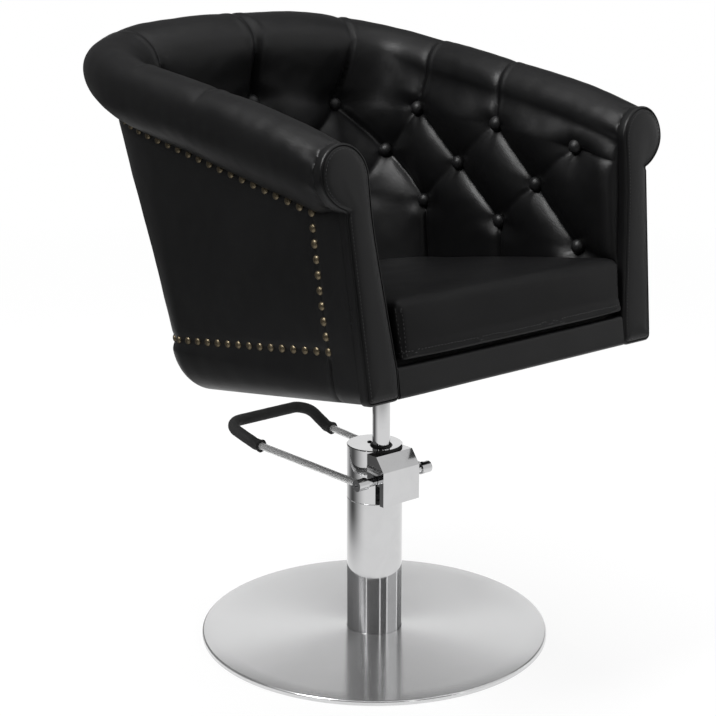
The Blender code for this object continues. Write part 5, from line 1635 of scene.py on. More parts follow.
@dataclass
class SeatCushion(Upholstery):
    """Loose box cushion, swollen by a short cloth run, with topstitched edges."""

    half: float = 0.2195
    front: float = -0.011
    back: float = 0.4829
    bottom: float = 0.0482
    height: float = 0.081
    crown: float = 0.002
    bow: float = 0.008
    corner_front: float = 0.010
    corner_back: float = 0.095
    pitch: float = 0.006
    shrink: float = 0.0025
    voxel: float = 0.0055
    pressure: float = 4.0
    stiffness: float = 25.0
    bending: float = 4.0
    frames: int = 20
    most_swell: Triple = (0.002, 0.008, 0.004)
    settle: int = 60
    resting: Pair = (0.002, 0.02)
    edge_round: float = 0.007
    top_round: float = 0.016
    front_fill: Pair = (0.35, 0.85)
    fill_run: float = 0.045
    seam_rise: float = 0.0115
    seam_pitch: float = 0.0025
    corner_seam: float = math.radians(-55.0)
    corner_points: int = 28
    seam_depth: float = 0.0016
    seam_half: float = 0.0030
    stitch_pitch: float = 0.0058
    stitch_gap: float = 0.0052

    SIDE_SHARES = (0.3, 0.5, 0.7)
    TOP_SHARES = (0.93, 0.82, 0.66, 0.48, 0.3, 0.12)
    STITCH = Scatter("cushion_stitches", (0.0019, 0.00042, 0.00036), (6, 4), spread=0.06, seed=9,
                     lay_along=True)

    @property
    def top(self) -> float:
        """Height of the cushion's top edge."""
        return self.bottom + self.height

    def outline(self) -> Array:
        """Draw the plan of the cushion.

        Returns:
            Evenly spaced points.
        """
        half, small, large = self.half, self.corner_front, self.corner_back
        right = np.vstack([arc((half - small, self.front + small), small, -QUARTER, 0.0, 10),
                           arc((half - large, self.back - large), large, 0.0, QUARTER, 16)])
        even = even_path(np.vstack([right, right[::-1] * [-1.0, 1.0]]), self.pitch, closed=True)
        nearness = 1 - ease(self.front, self.front + small, even[:, 1])
        even[:, 1] -= self.bow * (1 - (even[:, 0] / half) ** 2) * nearness
        return even

    def lean(self, y: Array, z: float) -> Array:
        """How far the cushion leans back with the tub's back."""
        share = np.maximum((y - self.front) / (self.back - self.front), 0.0)
        return self.form.back_lean * (z - self.bottom) * share**2

    def spread(self, flat: Array, z: Array | float) -> Array:
        """Widen the cushion's front towards the arm fronts.

        Args:
            flat: Plan points, with the sitter's right at negative X.
            z: Their height.

        Returns:
            Plan points that fill a share of the room there.
        """
        room = np.maximum(ArmFront.inner_edge(z) - self.half, 0.0)
        fill = np.where(flat[:, 0] < 0, *self.front_fill) * (1 - ease(self.front, self.fill_run, flat[:, 1]))
        return np.stack([flat[:, 0] * (1 + room * fill / self.half), flat[:, 1]], 1)

    def ring(self, plan: Array, draw: float, z: float) -> Array:
        """One level ring of the cushion, drawn in from its plan.

        Args:
            plan: Outline of the cushion.
            draw: Distance to draw in.
            z: Height of the ring.

        Returns:
            Points in the tub's frame.
        """
        flat = self.spread(plan + inward_normals(plan, 1) * draw, z)
        flat[:, 1] += self.lean(flat[:, 1], z)
        return at_height(flat, z)

    def body(self) -> Mesh:
        """Make the closed starting form.

        Returns:
            Mesh with rounded edges, full sides and a crowned top.
        """
        plan, low, crest, top = self.outline(), self.edge_round, self.top_round, self.top
        sides = [(self.shrink, blend(self.bottom + low, top - crest, share)) for share in self.SIDE_SHARES]
        profile = [*arc((self.shrink + low, self.bottom + low), low, 1.5 * math.pi, math.pi, 6), *sides,
                   *arc((self.shrink + crest, top - crest), crest, math.pi, QUARTER, 9)]
        rings = [self.ring(plan, draw, z) for draw, z in profile]
        middle, edge = np.array([0.0, (self.front + self.back) / 2]), rings[-1][:, :2]
        for share in self.TOP_SHARES:
            rings.append(at_height(middle + (edge - middle) * share, top + self.crown * (1 - share**2)))
        return MeshMaker.skin(self.form.world(np.array(rings)))

    def pressed(self, holder: Piece) -> Array:
        """Run cloth under light pressure.

        Args:
            holder: Object that holds the form.

        Returns:
            Coordinates after the last frame.
        """
        scene, cloth = bpy.context.scene, holder.modifiers.new("swell", "CLOTH")
        cloth.settings.use_pressure = True
        cloth.settings.uniform_pressure_force = self.pressure
        cloth.settings.effector_weights.gravity = 0.0
        cloth.settings.tension_stiffness = self.stiffness
        cloth.settings.compression_stiffness = self.stiffness
        cloth.settings.bending_stiffness = self.bending
        cloth.point_cache.frame_end = self.frames + 1
        for frame in range(1, self.frames + 1):
            scene.frame_set(frame)
        after = np.empty(len(holder.data.vertices) * 3)
        graph = bpy.context.evaluated_depsgraph_get()
        holder.evaluated_get(graph).data.vertices.foreach_get("co", after)
        holder.modifiers.remove(cloth)
        scene.frame_set(1)
        return after

    def swell(self, mesh: Mesh) -> Mesh:
        """Swell the form by a short cloth run and cap how far each point moves.

        Args:
            mesh: Closed starting form.

        Returns:
            The swollen mesh, subdivided once.
        """
        holder = stand("cushion_swell", mesh)
        remesh = holder.modifiers.new("even", "REMESH")
        remesh.mode, remesh.voxel_size = "VOXEL", self.voxel
        even = evaluated_mesh(holder)
        holder.modifiers.remove(remesh)
        holder.data = even
        before = np.empty(len(even.vertices) * 3)
        even.vertices.foreach_get("co", before)
        even.vertices.foreach_set("co", self.capped(even, before, self.pressed(holder)))
        finer = holder.modifiers.new("finer", "SUBSURF")
        finer.levels = finer.render_levels = 1
        done = evaluated_mesh(holder)
        bpy.data.objects.remove(holder)
        return done

    def capped(self, mesh: Mesh, before: Array, after: Array) -> Array:
        """Limit how far points move, smooth the movement and keep the underside flat.

        Args:
            mesh: Mesh that ran, for its edges.
            before: Coordinates before the run.
            after: Coordinates after it.

        Returns:
            Capped coordinates.
        """
        start, move = before.reshape(-1, 3), (after - before).reshape(-1, 3)
        move = np.clip(move, -np.array(self.most_swell), self.most_swell)
        pairs = np.empty(len(mesh.edges) * 2, np.int32)
        mesh.edges.foreach_get("vertices", pairs)
        ends = np.vstack([pairs.reshape(-1, 2), pairs.reshape(-1, 2)[:, ::-1]])
        shared = np.bincount(ends[:, 0], minlength=len(start))[:, None]
        for _ in range(self.settle):
            around = np.stack([np.bincount(ends[:, 0], move[ends[:, 1], k], len(start)) for k in range(3)], 1)
            move = 0.5 * (move + around / shared)
        low, high = (self.bottom + rise for rise in self.resting)
        free = ease(low, high, self.form.level(start))
        return (start + move * free[:, None]).ravel()

    def low_seam(self) -> Array:
        """Seam round the boxing, above its bottom edge."""
        ring = self.ring(self.outline(), 0.0, self.bottom + self.seam_rise)
        return even_path(self.form.world(ring), self.seam_pitch, closed=True)

    def corner_paths(self, aside: float) -> list[Array]:
        """Upright seams at the front corners of the boxing.

        Args:
            aside: Distance along the plan from the seam itself.

        Returns:
            One path for each corner.
        """
        turn, reach = self.corner_seam + aside / self.corner_front, self.corner_front
        x = self.half - reach * (1 - math.cos(turn))
        y = self.front + reach * (1 + math.sin(turn))
        z = np.linspace(self.bottom + self.edge_round, self.top - self.top_round / 2, self.corner_points)
        line = np.column_stack([np.full_like(z, x), np.full_like(z, y)])
        plans = [self.spread(line * [side, 1.0], z) for side in (1.0, -1.0)]
        return [self.form.world(np.column_stack([plan, z])) for plan in plans]

    @staticmethod
    def faces_of(mesh: Mesh) -> BVHTree:
        """Search tree of a mesh's faces."""
        return BVHTree.FromPolygons([v.co for v in mesh.vertices], [p.vertices for p in mesh.polygons])

    def sink_seams(self, mesh: Mesh) -> None:
        """Draw the hide in along its seams.

        Args:
            mesh: Swollen cushion, changed in place.
        """
        surface, seams = self.faces_of(mesh), np.vstack([self.low_seam(), *self.corner_paths(0.0)])
        tree = KDTree(len(seams))
        for index, place in enumerate(seams):
            tree.insert(surface.find_nearest(Vector(place))[0], index)
        tree.balance()
        moved = []
        for vertex in mesh.vertices:
            away = tree.find(vertex.co)[2]
            moved.append(vertex.co - vertex.normal * self.seam_depth * bell(away, self.seam_half))
        mesh.vertices.foreach_set("co", np.array(moved, np.float32).ravel())
        mesh.update()

    def stitches(self, mesh: Mesh) -> list[tuple[Array, Array, Array]]:
        """Mark the stitches along the low seam and on both sides of the upright ones.

        Args:
            mesh: Finished cushion.

        Returns:
            Places, faces and aims, seam by seam.
        """
        surface, found = self.faces_of(mesh), []
        upright = [*self.corner_paths(-self.stitch_gap), *self.corner_paths(self.stitch_gap)]
        for path in (self.low_seam(), *upright):
            hits = [surface.find_nearest(Vector(place)) for place in even_path(path, self.stitch_pitch)]
            sewn = np.array([hit[0] for hit in hits])
            found.append((sewn, np.array([hit[1] for hit in hits]), path_tangents(sewn)))
        return found

    def build(self) -> None:
        """Make the cushion and its stitches."""
        mesh = self.swell(self.body())
        self.sink_seams(mesh)
        mesh.shade_smooth()
        sewn = self.stitches(mesh)
        # The cushion's darker copy of the leather is painted shade.
        self.dresser.piece("seat_cushion_cover", mesh, Look.CUSHION_PAINTED_SHADE, Body.SEAT, Slot.LEATHER,
                           ("seat_cushion",), fill=0.75)
        self.dresser.scatter("cushion_stitching", self.STITCH, sewn, Look.THREAD)


@dataclass
class SeatBase(Upholstery):
    """Front rail, deck, dust cover and the bolted plate under the tub."""

    rail_half: float = 0.2217
    rail_front: float = 0.0008
    rail_back: float = 0.0136
    rail_height: float = 0.0410
    rail_round: float = 0.0052
    rail_hang: float = 0.004
    rail_full: float = 0.0016
    rail_wave: float = 0.0012
    rail_pitch: float = 0.0016
    rail_stations: int = 120
    board_bottom: float = 0.0098
    board_top: float = 0.0218
    board_stations: int = 161
    board_pitch: float = 0.008
    deck_top: float = 0.0476
    deck_depth: float = 0.0350
    deck_front: float = 0.026
    clearance: float = 0.0004
    sheet_depth: float = 0.0723
    sheet_sag: float = 0.0012
    sheet_thick: float = 0.0006
    sheet_rings: int = 14
    window: Pair = (0.1106, 0.1006)
    hub_y: float = 0.3043
    plate_edge: float = 0.0008

    DECK_PROFILE = ((1.0, 0.006), (0.985, 0.0015), (0.95, 0.0), (0.8, 0.0), (0.5, 0.0), (0.1, 0.0))

    def rail(self) -> None:
        """Make the padded rail below the cushion."""
        r = self.rail_round
        front, back = self.rail_front + r, self.rail_back - r
        low, high = r - self.rail_hang, self.rail_height - r
        corners = (((front, low), math.pi), ((back, low), 1.5 * math.pi), ((back, high), 0.0),
                   ((front, high), QUARTER))
        section = np.vstack([arc(middle, r, start, start + QUARTER, 6) for middle, start in corners])
        y, z = even_path(section, self.rail_pitch, closed=True).T[:, None, :]
        x = np.linspace(-self.rail_half, self.rail_half, self.rail_stations)[:, None]
        wave = np.array([noise.noise(Vector((place * 13.0, 0.3, 4.2))) for place in x[:, 0]])[:, None]
        full = self.rail_full * (1 - (x / self.rail_half) ** 6) + self.rail_wave * wave
        y = y - (1 - ease(self.rail_front + 0.001, self.rail_back - 0.002, y)) * full
        mesh = MeshMaker.skin(self.form.world(np.stack(np.broadcast_arrays(x, y, z), -1)))
        self.dresser.piece("rail_cover", mesh, Look.LEATHER, Body.SEAT, Slot.LEATHER, ("front_rail",),
                           fill=0.6)

    def plan(self, depth: float, z: float) -> Array:
        """Plan of a board inside the tub.

        Args:
            depth: Distance in from the outer leather.
            z: Height of the board.

        Returns:
            Evenly spaced points in the tub's frame.
        """
        end = self.form.arm_end()
        at = Stations(self.form, np.linspace(-end, end, self.board_stations))
        x, y = at.inside(depth, np.full((self.board_stations, 1), z))
        return even_path(np.hstack([x, np.maximum(y, self.form.arm_start)]), self.board_pitch, closed=True)

    def deck(self) -> None:
        """Make the padded deck that the cushion lies on."""
        plan = self.plan(self.deck_depth, self.board_top)
        plan[:, 1] = np.maximum(plan[:, 1], self.deck_front)
        middle = plan.mean(0)
        rings = [at_height(plan, self.board_top + self.clearance)]
        for share, drop in self.DECK_PROFILE:
            rings.append(at_height(middle + (plan - middle) * share, self.deck_top - self.clearance - drop))
        mesh = MeshMaker.skin(self.form.world(np.array(rings)))
        self.dresser.piece("deck_pad", mesh, Look.LINING, Body.SEAT, Slot.CLOTH, ("seat_deck",), fill=0.7)

    def dust_sheet(self) -> None:
        """Make the stretched cloth under the tub, cut out round the plate."""
        plan, centre = self.plan(self.sheet_depth, self.board_bottom), np.array([0.0, self.hub_y])
        half, toward = np.array(self.window), plan - centre
        inner = centre + toward * np.min(half / np.maximum(np.abs(toward), TINY), axis=1)[:, None]
        shares, rows = np.linspace(0.0, 1.0, self.sheet_rings), []
        for thick, run in ((0.0, shares), (self.sheet_thick, shares[::-1])):
            for share in run:
                sag = self.sheet_sag * math.sin(math.pi * share)
                z = self.board_bottom - self.clearance - thick - sag
                rows.append(at_height(blend(plan, inner, share), z))
        mesh = MeshMaker.skin(self.form.world(np.array(rows)), loop=True)
        made = self.dresser.piece("dust_sheet", mesh, Look.LINING, Body.SEAT, Slot.CLOTH, ("dust_cover",))

    def build(self) -> None:
        """Make the rail, the deck and the underside."""
        self.rail()
        self.deck()
        self.dust_sheet()
        plate = MeshMaker.from_node(self.dresser.nodes["seat_plate"], self.plate_edge)
        self.dresser.piece("seat_mount_plate", plate, Look.PAINTED, Body.SEAT, Slot.STEEL, ("seat_plate",))
        self.dresser.repaint(Look.ZINC, *(f"seat_bolt_{number}" for number in range(1, 5)))
        self.dresser.repaint(Look.PLY, "bottom_board", "tub_frame")


@dataclass
class DiscBase(SubAssembly):
    """Round base: brushed cover, steel plate and rubber floor pad."""

    radius: float = 0.280
    hole: float = 0.04475
    hole_edge: float = 0.0003
    under: float = 0.0071
    top: float = 0.0081
    rim_low: float = 0.0008
    edge: float = 0.003
    sheet: float = 0.001
    sides: int = 256

    TOP_RINGS = (0.08, 0.14, 0.20, 0.25)

    def build(self) -> None:
        """Make the cover and finish what stays of the frame."""
        middle, hole = (self.radius - self.edge, self.top - self.edge), self.hole
        profile = [(hole, self.under), (hole, self.top - self.hole_edge), (hole + self.hole_edge, self.top),
                   *((radius, self.top) for radius in self.TOP_RINGS),
                   *arc(middle, self.edge, QUARTER, 0.0, 9),
                   (self.radius, self.rim_low), (self.radius - self.sheet, self.rim_low),
                   *arc(middle, self.edge - self.sheet, 0.0, QUARTER, 9)]
        mesh = MeshMaker.turned(profile, self.sides)
        self.dresser.piece("disc_cover", mesh, Look.DISC, Body.BASE, Slot.STAINLESS, ("base_cover",))
        self.dresser.repaint(Look.RUBBER, "floor_pad")
        bolts = (f"base_bolt_{number}" for number in range(1, 5))
        self.dresser.repaint(Look.STEEL, "base_plate", "pump_foot", *bolts)


@dataclass
class PumpColumn(SubAssembly):
    """Chrome column, pump head, folded cover, ram and hub."""

    radius: float = 0.04445
    wall: float = 0.002
    foot: float = 0.0071
    top: float = 0.230
    tube_edge: float = 0.0006
    cast_edge: float = 0.0007
    head_top: float = 0.319
    plug_at: Pair = (-0.0040, 0.0075)
    flat_y: float = -0.034
    cover_y: float = -0.047
    cover_z: float = 0.270
    cover_half: float = 0.0362
    ram_radius: float = 0.014
    ram_y: float = -0.016
    ram_edge: float = 0.001
    taper: float = 0.002
    taper_length: float = 0.019
    hub_edge: float = 0.0012
    hub_gap: float = 0.0003
    hub_roof: float = 0.004
    hub_mouth: float = 0.005
    wiper_gap: float = 0.0005
    sides: int = 160
    plug_sides: int = 28
    ram_sides: int = 96
    ring_sides: int = 80

    PLUG = ((0.0, 0.0002), (0.0038, 0.0002), (0.0038, 0.0009), (0.0031, 0.0015), (0.0018, 0.0016),
            (0.0014, 0.0008), (0.0, 0.0008))

    def behind_cover(self, centre: Vector, _normal: Vector) -> bool:
        """Whether a face of the pump head lies behind the cover, where it gets painted shade."""
        return centre.y < self.flat_y and abs(centre.x) < self.cover_half

    def inside_cover(self, centre: Vector, normal: Vector) -> bool:
        """Whether a face of the cover looks inwards, where it gets painted shade."""
        return normal.dot(centre - Vector((0.0, self.cover_y, self.cover_z))) < 0

    def build(self) -> None:
        """Make the bright pieces and finish what stays of the frame."""
        dresser, hollow = self.dresser, self.radius - self.wall
        tube = [(hollow, self.foot), (self.radius, self.foot), (self.radius, self.top - self.tube_edge),
                (self.radius - self.tube_edge, self.top), (hollow, self.top)]
        mesh = MeshMaker.turned(tube, self.sides)
        dresser.piece("column_sleeve", mesh, Look.CHROME, Body.BASE, Slot.CHROME, ("column_tube",))
        # The pump head's faces behind the cover and the cover's inner faces get a near-black finish: painted
        # shade in the slot.
        for node, shaded in (("pump_head", self.behind_cover), ("head_cover", self.inside_cover)):
            mesh = MeshMaker.from_node(dresser.nodes[node], self.cast_edge)
            made = dresser.piece(node + "_plated", mesh, Look.CHROME, Body.BASE, Slot.CHROME, (node,))
            dresser.shade_faces(made, Look.PAINTED_SHADE_AND_SCREWS, shaded)
        plug = [(radius, self.head_top + rise) for radius, rise in self.PLUG]
        mesh = MeshMaker.turned(plug, self.plug_sides, self.plug_at)
        dresser.piece("oil_plug", mesh, Look.RUBBER, Body.BASE, Slot.RUBBER)
        self.ram()
        hidden = ("ram_cylinder", "rod_gland", "plunger_finger", "pump_plunger", "ram_piston")
        dresser.repaint(Look.STEEL, *hidden)

    def ram(self) -> None:
        """Make the ram, its wiper ring and the hub over its taper."""
        dresser, centre, radius = self.dresser, (0.0, self.ram_y), self.ram_radius
        low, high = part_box("ram_rod")
        rod = [(0.0, low.z), (radius - self.ram_edge, low.z), (radius, low.z + self.ram_edge),
               (radius, high.z - self.taper_length), (radius - self.taper, high.z), (0.0, high.z)]
        mesh = MeshMaker.turned(rod, self.ram_sides, centre)
        dresser.piece("ram", mesh, Look.CHROME, Body.SEAT, Slot.CHROME, ("ram_rod",))
        low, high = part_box("seat_hub")
        bore, outer = radius + self.hub_gap, (high.x - low.x) / 2
        edge, roof = self.hub_edge, high.z - self.hub_roof
        hub = [(bore, low.z), (outer - edge, low.z), (outer, low.z + edge), (outer, high.z - edge),
               (outer - edge, high.z), (0.0, high.z), (0.0, roof), (bore - self.taper, roof),
               (bore, low.z + self.hub_mouth)]
        mesh = MeshMaker.turned(hub, self.ring_sides, centre)
        dresser.piece("hub", mesh, Look.PAINTED, Body.SEAT, Slot.STEEL, ("seat_hub",))
        low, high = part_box("rod_wiper")
        bore, rim = radius + self.wiper_gap, (high.x - low.x) / 2
        lip = [(bore, low.z), (rim, low.z), (rim, low.z + 0.0014), (rim - 0.0006, low.z + 0.0020),
               (bore + 0.0010, high.z), (bore, high.z)]
        mesh = MeshMaker.turned(lip, self.ring_sides, centre)
        dresser.piece("wiper_ring", mesh, Look.RUBBER, Body.BASE, Slot.RUBBER, ("rod_wiper",))


@dataclass
class FootLever(SubAssembly):
    """Bent foot lever with its collars, screws and black sleeve."""

    shaft_y: float = -0.0449
    shaft_z: float = 0.2750
    shaft_half: float = 0.0655
    collar_radius: float = 0.0095
    collar_edge: float = 0.0006
    bar_radius: float = 0.006
    bar_inset: float = 0.001
    bend_radius: float = 0.026
    bend_steps: tuple[int, int] = (5, 12)
    arm_spread: float = 0.0105
    arm_reach: float = 0.262
    arm_rise: float = 0.003
    pedal_spread: float = 0.009
    pedal_reach: float = 0.070
    pedal_rise: float = 0.020
    sleeve_radius: float = 0.0096
    sleeve_lap: float = 0.016
    sleeve_flare: float = 0.0012
    sleeve_wave: float = 0.00035
    sleeve_ripple: float = 0.00012
    pitch: float = 0.004

    @staticmethod
    def rounded(before: Vector, corner: Vector, after: Vector, radius: float, steps: int) -> list[Vector]:
        """Round one corner of a path.

        Args:
            before: Point ahead of the corner.
            corner: The corner.
            after: Point past the corner.
            radius: Bend radius.
            steps: Steps round the bend.

        Returns:
            Points of the bend.
        """
        to_before, to_after = (before - corner).normalized(), (after - corner).normalized()
        half = to_before.angle(to_after) / 2
        centre = corner + (to_before + to_after).normalized() * (radius / math.sin(half))
        start = corner + to_before * (radius / math.tan(half)) - centre
        end = corner + to_after * (radius / math.tan(half)) - centre
        return [centre + start.slerp(end, i / steps).normalized() * radius for i in range(steps + 1)]

    def path(self, sleeve_only: bool) -> Array:
        """Draw the middle line of the bar, or of its sleeve alone.

        Args:
            sleeve_only: Whether the line starts where the sleeve does.

        Returns:
            Evenly spaced points.
        """
        knee = Vector((self.shaft_half + self.arm_spread, self.shaft_y + self.arm_reach,
                       self.shaft_z + self.arm_rise))
        root = Vector((self.shaft_half, self.shaft_y + self.collar_radius - self.bar_inset, self.shaft_z))
        corner = knee + Vector((self.pedal_spread, self.pedal_reach, self.pedal_rise))
        middle = Vector((0.0, corner.y, corner.z))
        begin = knee + (root - knee).normalized() * self.sleeve_lap if sleeve_only else root
        half = [begin, *self.rounded(begin, knee, corner, self.sleeve_lap, self.bend_steps[0]),
                *self.rounded(knee, corner, middle, self.bend_radius, self.bend_steps[1])]
        points = [*half, *(Vector((-p.x, p.y, p.z)) for p in reversed(half))]
        return even_path(np.array([tuple(p) for p in points]), self.pitch)

    def build(self) -> None:
        """Make the bar, the sleeve, the shaft and its ends."""
        dresser, bar, sleeve = self.dresser, self.path(False), self.path(True)
        mesh = MeshMaker.swept(bar, np.full(len(bar), self.bar_radius), 32)
        dresser.piece("lever_bar", mesh, Look.SATIN, Body.LEVER, Slot.CHROME, ("lever_tube",))
        steps = np.arange(len(sleeve))
        from_end = np.minimum(steps, steps[::-1])
        flare = self.sleeve_flare * np.exp(-from_end / 1.2)
        wave = self.sleeve_wave * np.sin(steps * 1.9) * np.exp(-from_end / 6.0)
        mesh = MeshMaker.swept(sleeve, self.sleeve_radius + flare + wave, 40, self.sleeve_ripple)
        dresser.piece("pedal_sleeve", mesh, Look.FOAM, Body.LEVER, Slot.RUBBER, ("lever_grip",))
        for side in ("left", "right"):
            node = "lever_collar_" + side
            mesh = MeshMaker.from_node(dresser.nodes[node], self.collar_edge)
            dresser.piece("end_collar_" + side, mesh, Look.CHROME, Body.LEVER, Slot.CHROME, (node,))
        dresser.repaint(Look.CHROME, "lever_shaft")
        # The lever screws take the same near-black finish that is painted shade on the pump head.
        dresser.repaint(Look.PAINTED_SHADE_AND_SCREWS, "lever_screw_left", "lever_screw_right")


@dataclass(frozen=True)
class SoftLamp:
    """Soft lamp that faces the seat. Glossy surfaces mirror it only where it shines."""

    name: str
    place: Triple
    size: Pair
    power: float
    shines: bool = False

    SEAT = (0.0, 0.0, 0.7)

    def hang(self) -> None:
        """Hang the lamp."""
        data = bpy.data.lights.new(self.name, "AREA")
        data.shape, data.energy = "RECTANGLE", self.power
        data.size, data.size_y = self.size
        made = stand(self.name, data)
        made.location = self.place
        made.rotation_euler = (Vector(self.SEAT) - Vector(self.place)).to_track_quat("-Z", "Y").to_euler()
        made.visible_glossy = self.shines


@dataclass(frozen=True)
class UprightCard:
    """Card that stands between two angles, in degrees to the right of the camera."""

    first: float
    last: float
    tone: float
    reach: float = 4.0
    foot: float = 0.0


@dataclass
class Studio:
    """Plain pale floor, white surroundings, soft lamps and the camera of the photograph."""

    eye: Triple = (-1.7056, -2.0184, 1.1909)
    tilt: Triple = (74.504, 0.0, -39.625)
    lens: float = 88.01
    ambient: float = 0.55
    floor_reach: float = 45.0
    floor_level: float = -0.0002
    floor_tone: float = 0.86
    white_from: Pair = (1.2, 3.6)
    card_top: float = 3.6
    shade_ring: Pair = (0.29, 2.4)
    shade_end: float = 8.0
    shade_near: Pair = (0.26, 0.62)
    shade_far: Pair = (1.35, 2.3)
    shade_middle: float = -100.0
    shade_half: float = 66.0
    shade_pale: float = 0.95
    shade_dark: float = 0.03
    shade_depth: float = 0.93
    shade_level: float = 0.001
    bounce_x: Pair = (0.09, 0.28)
    bounce_y: Pair = (-0.27, -0.13)
    bounce_z: float = 0.485
    bounce_tone: float = 0.72

    LAMPS = (SoftLamp("key_box", (-1.9, 0.2, 3.2), (0.7, 1.2), 75.0, shines=True),
             SoftLamp("fill_box", (1.5, -2.6, 2.0), (0.5, 1.5), 40.0),
             SoftLamp("top_box", (0.3, 0.6, 3.0), (1.4, 1.4), 60.0))
    DARK, DIM, PALE, LIT = 0.02, 0.13, 0.75, 2.2
    CARDS = (UprightCard(-63.0, -35.2, DARK), UprightCard(-31.8, 21.5, DARK), UprightCard(26.0, 52.5, DARK),
             UprightCard(57.0, 105.5, PALE), UprightCard(111.5, 162.0, DARK, foot=1.3),
             UprightCard(-162.0, -64.0, DIM), UprightCard(130.0, 180.0, DIM, 2.1, 1.1),
             UprightCard(180.0, 230.0, DIM, 2.1, 1.1), UprightCard(-34.8, -32.2, LIT),
             UprightCard(22.4, 25.2, LIT), UprightCard(53.4, 56.2, LIT), UprightCard(106.5, 110.5, LIT))

    def camera(self) -> None:
        """Set the camera."""
        data = bpy.data.cameras.new("photo_camera")
        data.lens, data.sensor_width = self.lens, 36.0
        data.clip_start, data.clip_end = 0.05, 50.0
        made = stand("photo_camera", data)
        made.location = self.eye
        made.rotation_euler = [math.radians(angle) for angle in self.tilt]
        bpy.context.scene.camera = made

    @staticmethod
    def seen_plainly(sheet: NodeSheet) -> Socket:
        """Share that is 1 for camera, glossy and transmitted rays.

        Args:
            sheet: Node sheet that the share goes into.

        Returns:
            The share.
        """
        path = sheet.add("ShaderNodeLightPath").outputs
        direct = sheet.maths("MAXIMUM", path["Is Camera Ray"], path["Is Glossy Ray"])
        return sheet.maths("MAXIMUM", direct, path["Is Transmission Ray"])

    def surroundings(self) -> None:
        """Set the white world."""
        world = bpy.data.worlds.new("white_studio")
        world.use_nodes = True
        sheet = NodeSheet(world.node_tree)
        strength = sheet.ranged(self.seen_plainly(sheet), self.ambient, 1.0, 0.0, 1.0)
        sheet.feed(world.node_tree.nodes["Background"], {"Color": (*grey(1.0), 1.0), "Strength": strength})
        bpy.context.scene.world = world

    def floor(self) -> None:
        """Lay the pale floor."""
        reach, level = self.floor_reach, self.floor_level
        mesh = bpy.data.meshes.new("studio_floor")
        corners = ((-reach, -reach), (reach, -reach), (reach, reach), (-reach, reach))
        mesh.from_pydata([(*corner, level) for corner in corners], [], [(0, 1, 2, 3)])
        material = bpy.data.materials.new("pale_floor")
        material.use_nodes = True
        sheet, nodes = NodeSheet(material.node_tree), material.node_tree.nodes
        shader = nodes["Principled BSDF"]
        sheet.feed(shader, {
            "Base Color": (*grey(self.floor_tone), 1.0), "Roughness": 0.9, "Specular IOR Level": 0.0})
        where = sheet.out("ShaderNodeTexCoord", "Object")
        away = sheet.out("ShaderNodeVectorMath", "Value", {"Vector": where}, operation="LENGTH")
        whitened = sheet.ranged(away, self.floor_tone, 1.0, *self.white_from)
        share = sheet.maths("MULTIPLY", self.seen_plainly(sheet), whitened)
        glow = sheet.out("ShaderNodeEmission", "Emission", {"Strength": 1.0})
        mixed = sheet.out("ShaderNodeMixShader", "Shader", {0: share, 1: shader.outputs["BSDF"], 2: glow})
        sheet.feed(nodes["Material Output"], {"Surface": mixed})
        mesh.materials.append(material)
        stand("studio_floor", mesh)

    @staticmethod
    def card(name: str, corners: Array, faces: list, tones: Array) -> None:
        """Set a card that only reflections see.

        Args:
            name: Name of the card.
            corners: Its points.
            faces: Its faces.
            tones: Grey at each point.
        """
        mesh = bpy.data.meshes.new(name)
        mesh.from_pydata(corners.tolist(), [], faces)
        mesh.attributes.new("tone", "FLOAT", "POINT").data.foreach_set("value", tones.astype(np.float32))
        material = bpy.data.materials.new(name)
        material.use_nodes = True
        sheet, nodes = NodeSheet(material.node_tree), material.node_tree.nodes
        nodes.remove(nodes["Principled BSDF"])
        shade = sheet.out("ShaderNodeAttribute", "Fac", attribute_name="tone")
        glow = sheet.out("ShaderNodeEmission", "Emission", {"Color": shade})
        sheet.feed(nodes["Material Output"], {"Surface": glow})
        mesh.materials.append(material)
        made = stand(name, mesh)
        made.visible_camera = made.visible_diffuse = made.visible_shadow = made.visible_transmission = False

    def toward(self, angle: float, reach: float) -> Array:
        """Floor place at an angle, in degrees to the right of the camera, and a distance from the column."""
        turn = math.atan2(self.eye[1], self.eye[0]) + math.radians(angle)
        return np.array([math.cos(turn) * reach, math.sin(turn) * reach])

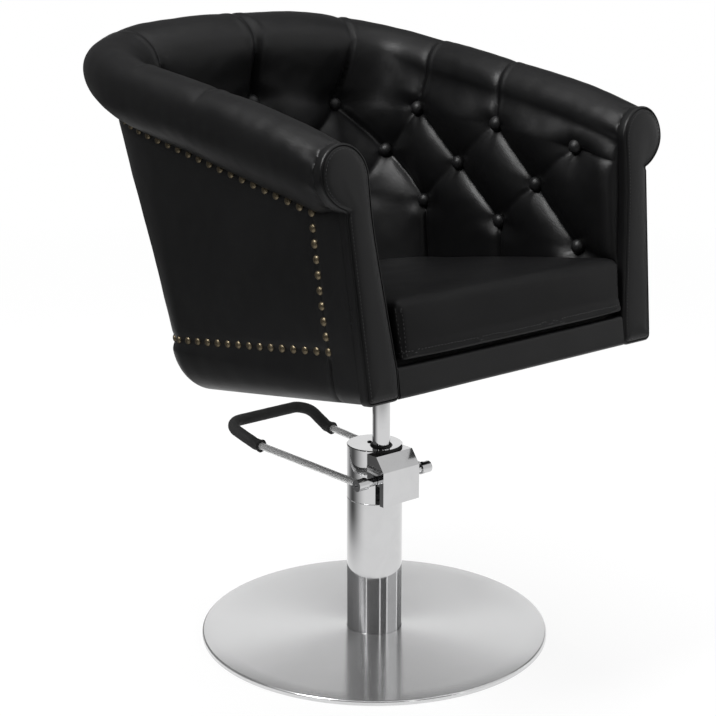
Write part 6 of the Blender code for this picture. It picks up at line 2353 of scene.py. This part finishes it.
    def uprights(self) -> None:
        """Stand cards round the chair, with narrow gaps that show as bright lines in the chrome."""
        corners = []
        for card in self.CARDS:
            one, two = self.toward(card.first, card.reach), self.toward(card.last, card.reach)
            corners += [(*one, card.foot), (*two, card.foot), (*two, self.card_top), (*one, self.card_top)]
        faces = np.arange(len(corners)).reshape(-1, 4).tolist()
        self.card("upright_cards", np.array(corners), faces, np.repeat([card.tone for card in self.CARDS], 4))

    def floor_shade(self) -> None:
        """Darken the floor far out and behind the near arm, for reflections alone."""
        angles = np.linspace(-180.0, 180.0, 121)[:-1]
        reaches = np.array([*np.linspace(*self.shade_ring, 40), self.shade_end])
        turn, reach = np.meshgrid(angles, reaches, indexing="ij")
        beside = ease(0.0, 1.0, 1 - np.abs(turn - self.shade_middle) / self.shade_half)
        beside = beside * ease(*self.shade_near, reach)
        open_floor = self.shade_pale * (1 - ease(*self.shade_far, reach))
        tones = open_floor * (1 - self.shade_depth * beside) + self.shade_dark
        flat = np.array([self.toward(a, r) for a, r in zip(turn.ravel(), reach.ravel())])
        corners = at_height(flat, self.shade_level)
        grid = np.arange(turn.size).reshape(turn.shape)
        after = np.roll(grid, -1, 0)
        faces = np.stack([grid[:, :-1], grid[:, 1:], after[:, 1:], after[:, :-1]], -1)
        self.card("floor_shade", corners, faces.reshape(-1, 4).tolist(), tones.ravel())

    def bounce(self) -> None:
        """Set a pale card below the tub's front, for reflections alone."""
        (left, right), (front, back) = self.bounce_x, self.bounce_y
        plan = np.array([(left, front), (right, front), (right, back), (left, back)])
        self.card("bounce_card", at_height(plan, self.bounce_z), [(0, 1, 2, 3)], np.full(4, self.bounce_tone))

    def build(self) -> None:
        """Set the whole stage."""
        bpy.context.scene.view_settings.view_transform = "Standard"
        self.camera()
        self.surroundings()
        self.floor()
        for lamp in self.LAMPS:
            lamp.hang()
        self.uprights()
        self.floor_shade()
        self.bounce()


def main() -> None:
    """Load the frame and dress it piece by piece."""
    logging.basicConfig(level=logging.INFO, format="%(name)s %(message)s")
    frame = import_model()
    dresser, form = Dresser(frame), TubForm()
    Studio().build()
    for assembly in (DiscBase, PumpColumn, FootLever):
        assembly(dresser).build()
    for assembly in (TuftedCover, OuterCover, ArmFront, SeatCushion, SeatBase):
        assembly(dresser, form).build()


if __name__ == "__main__":
    main()
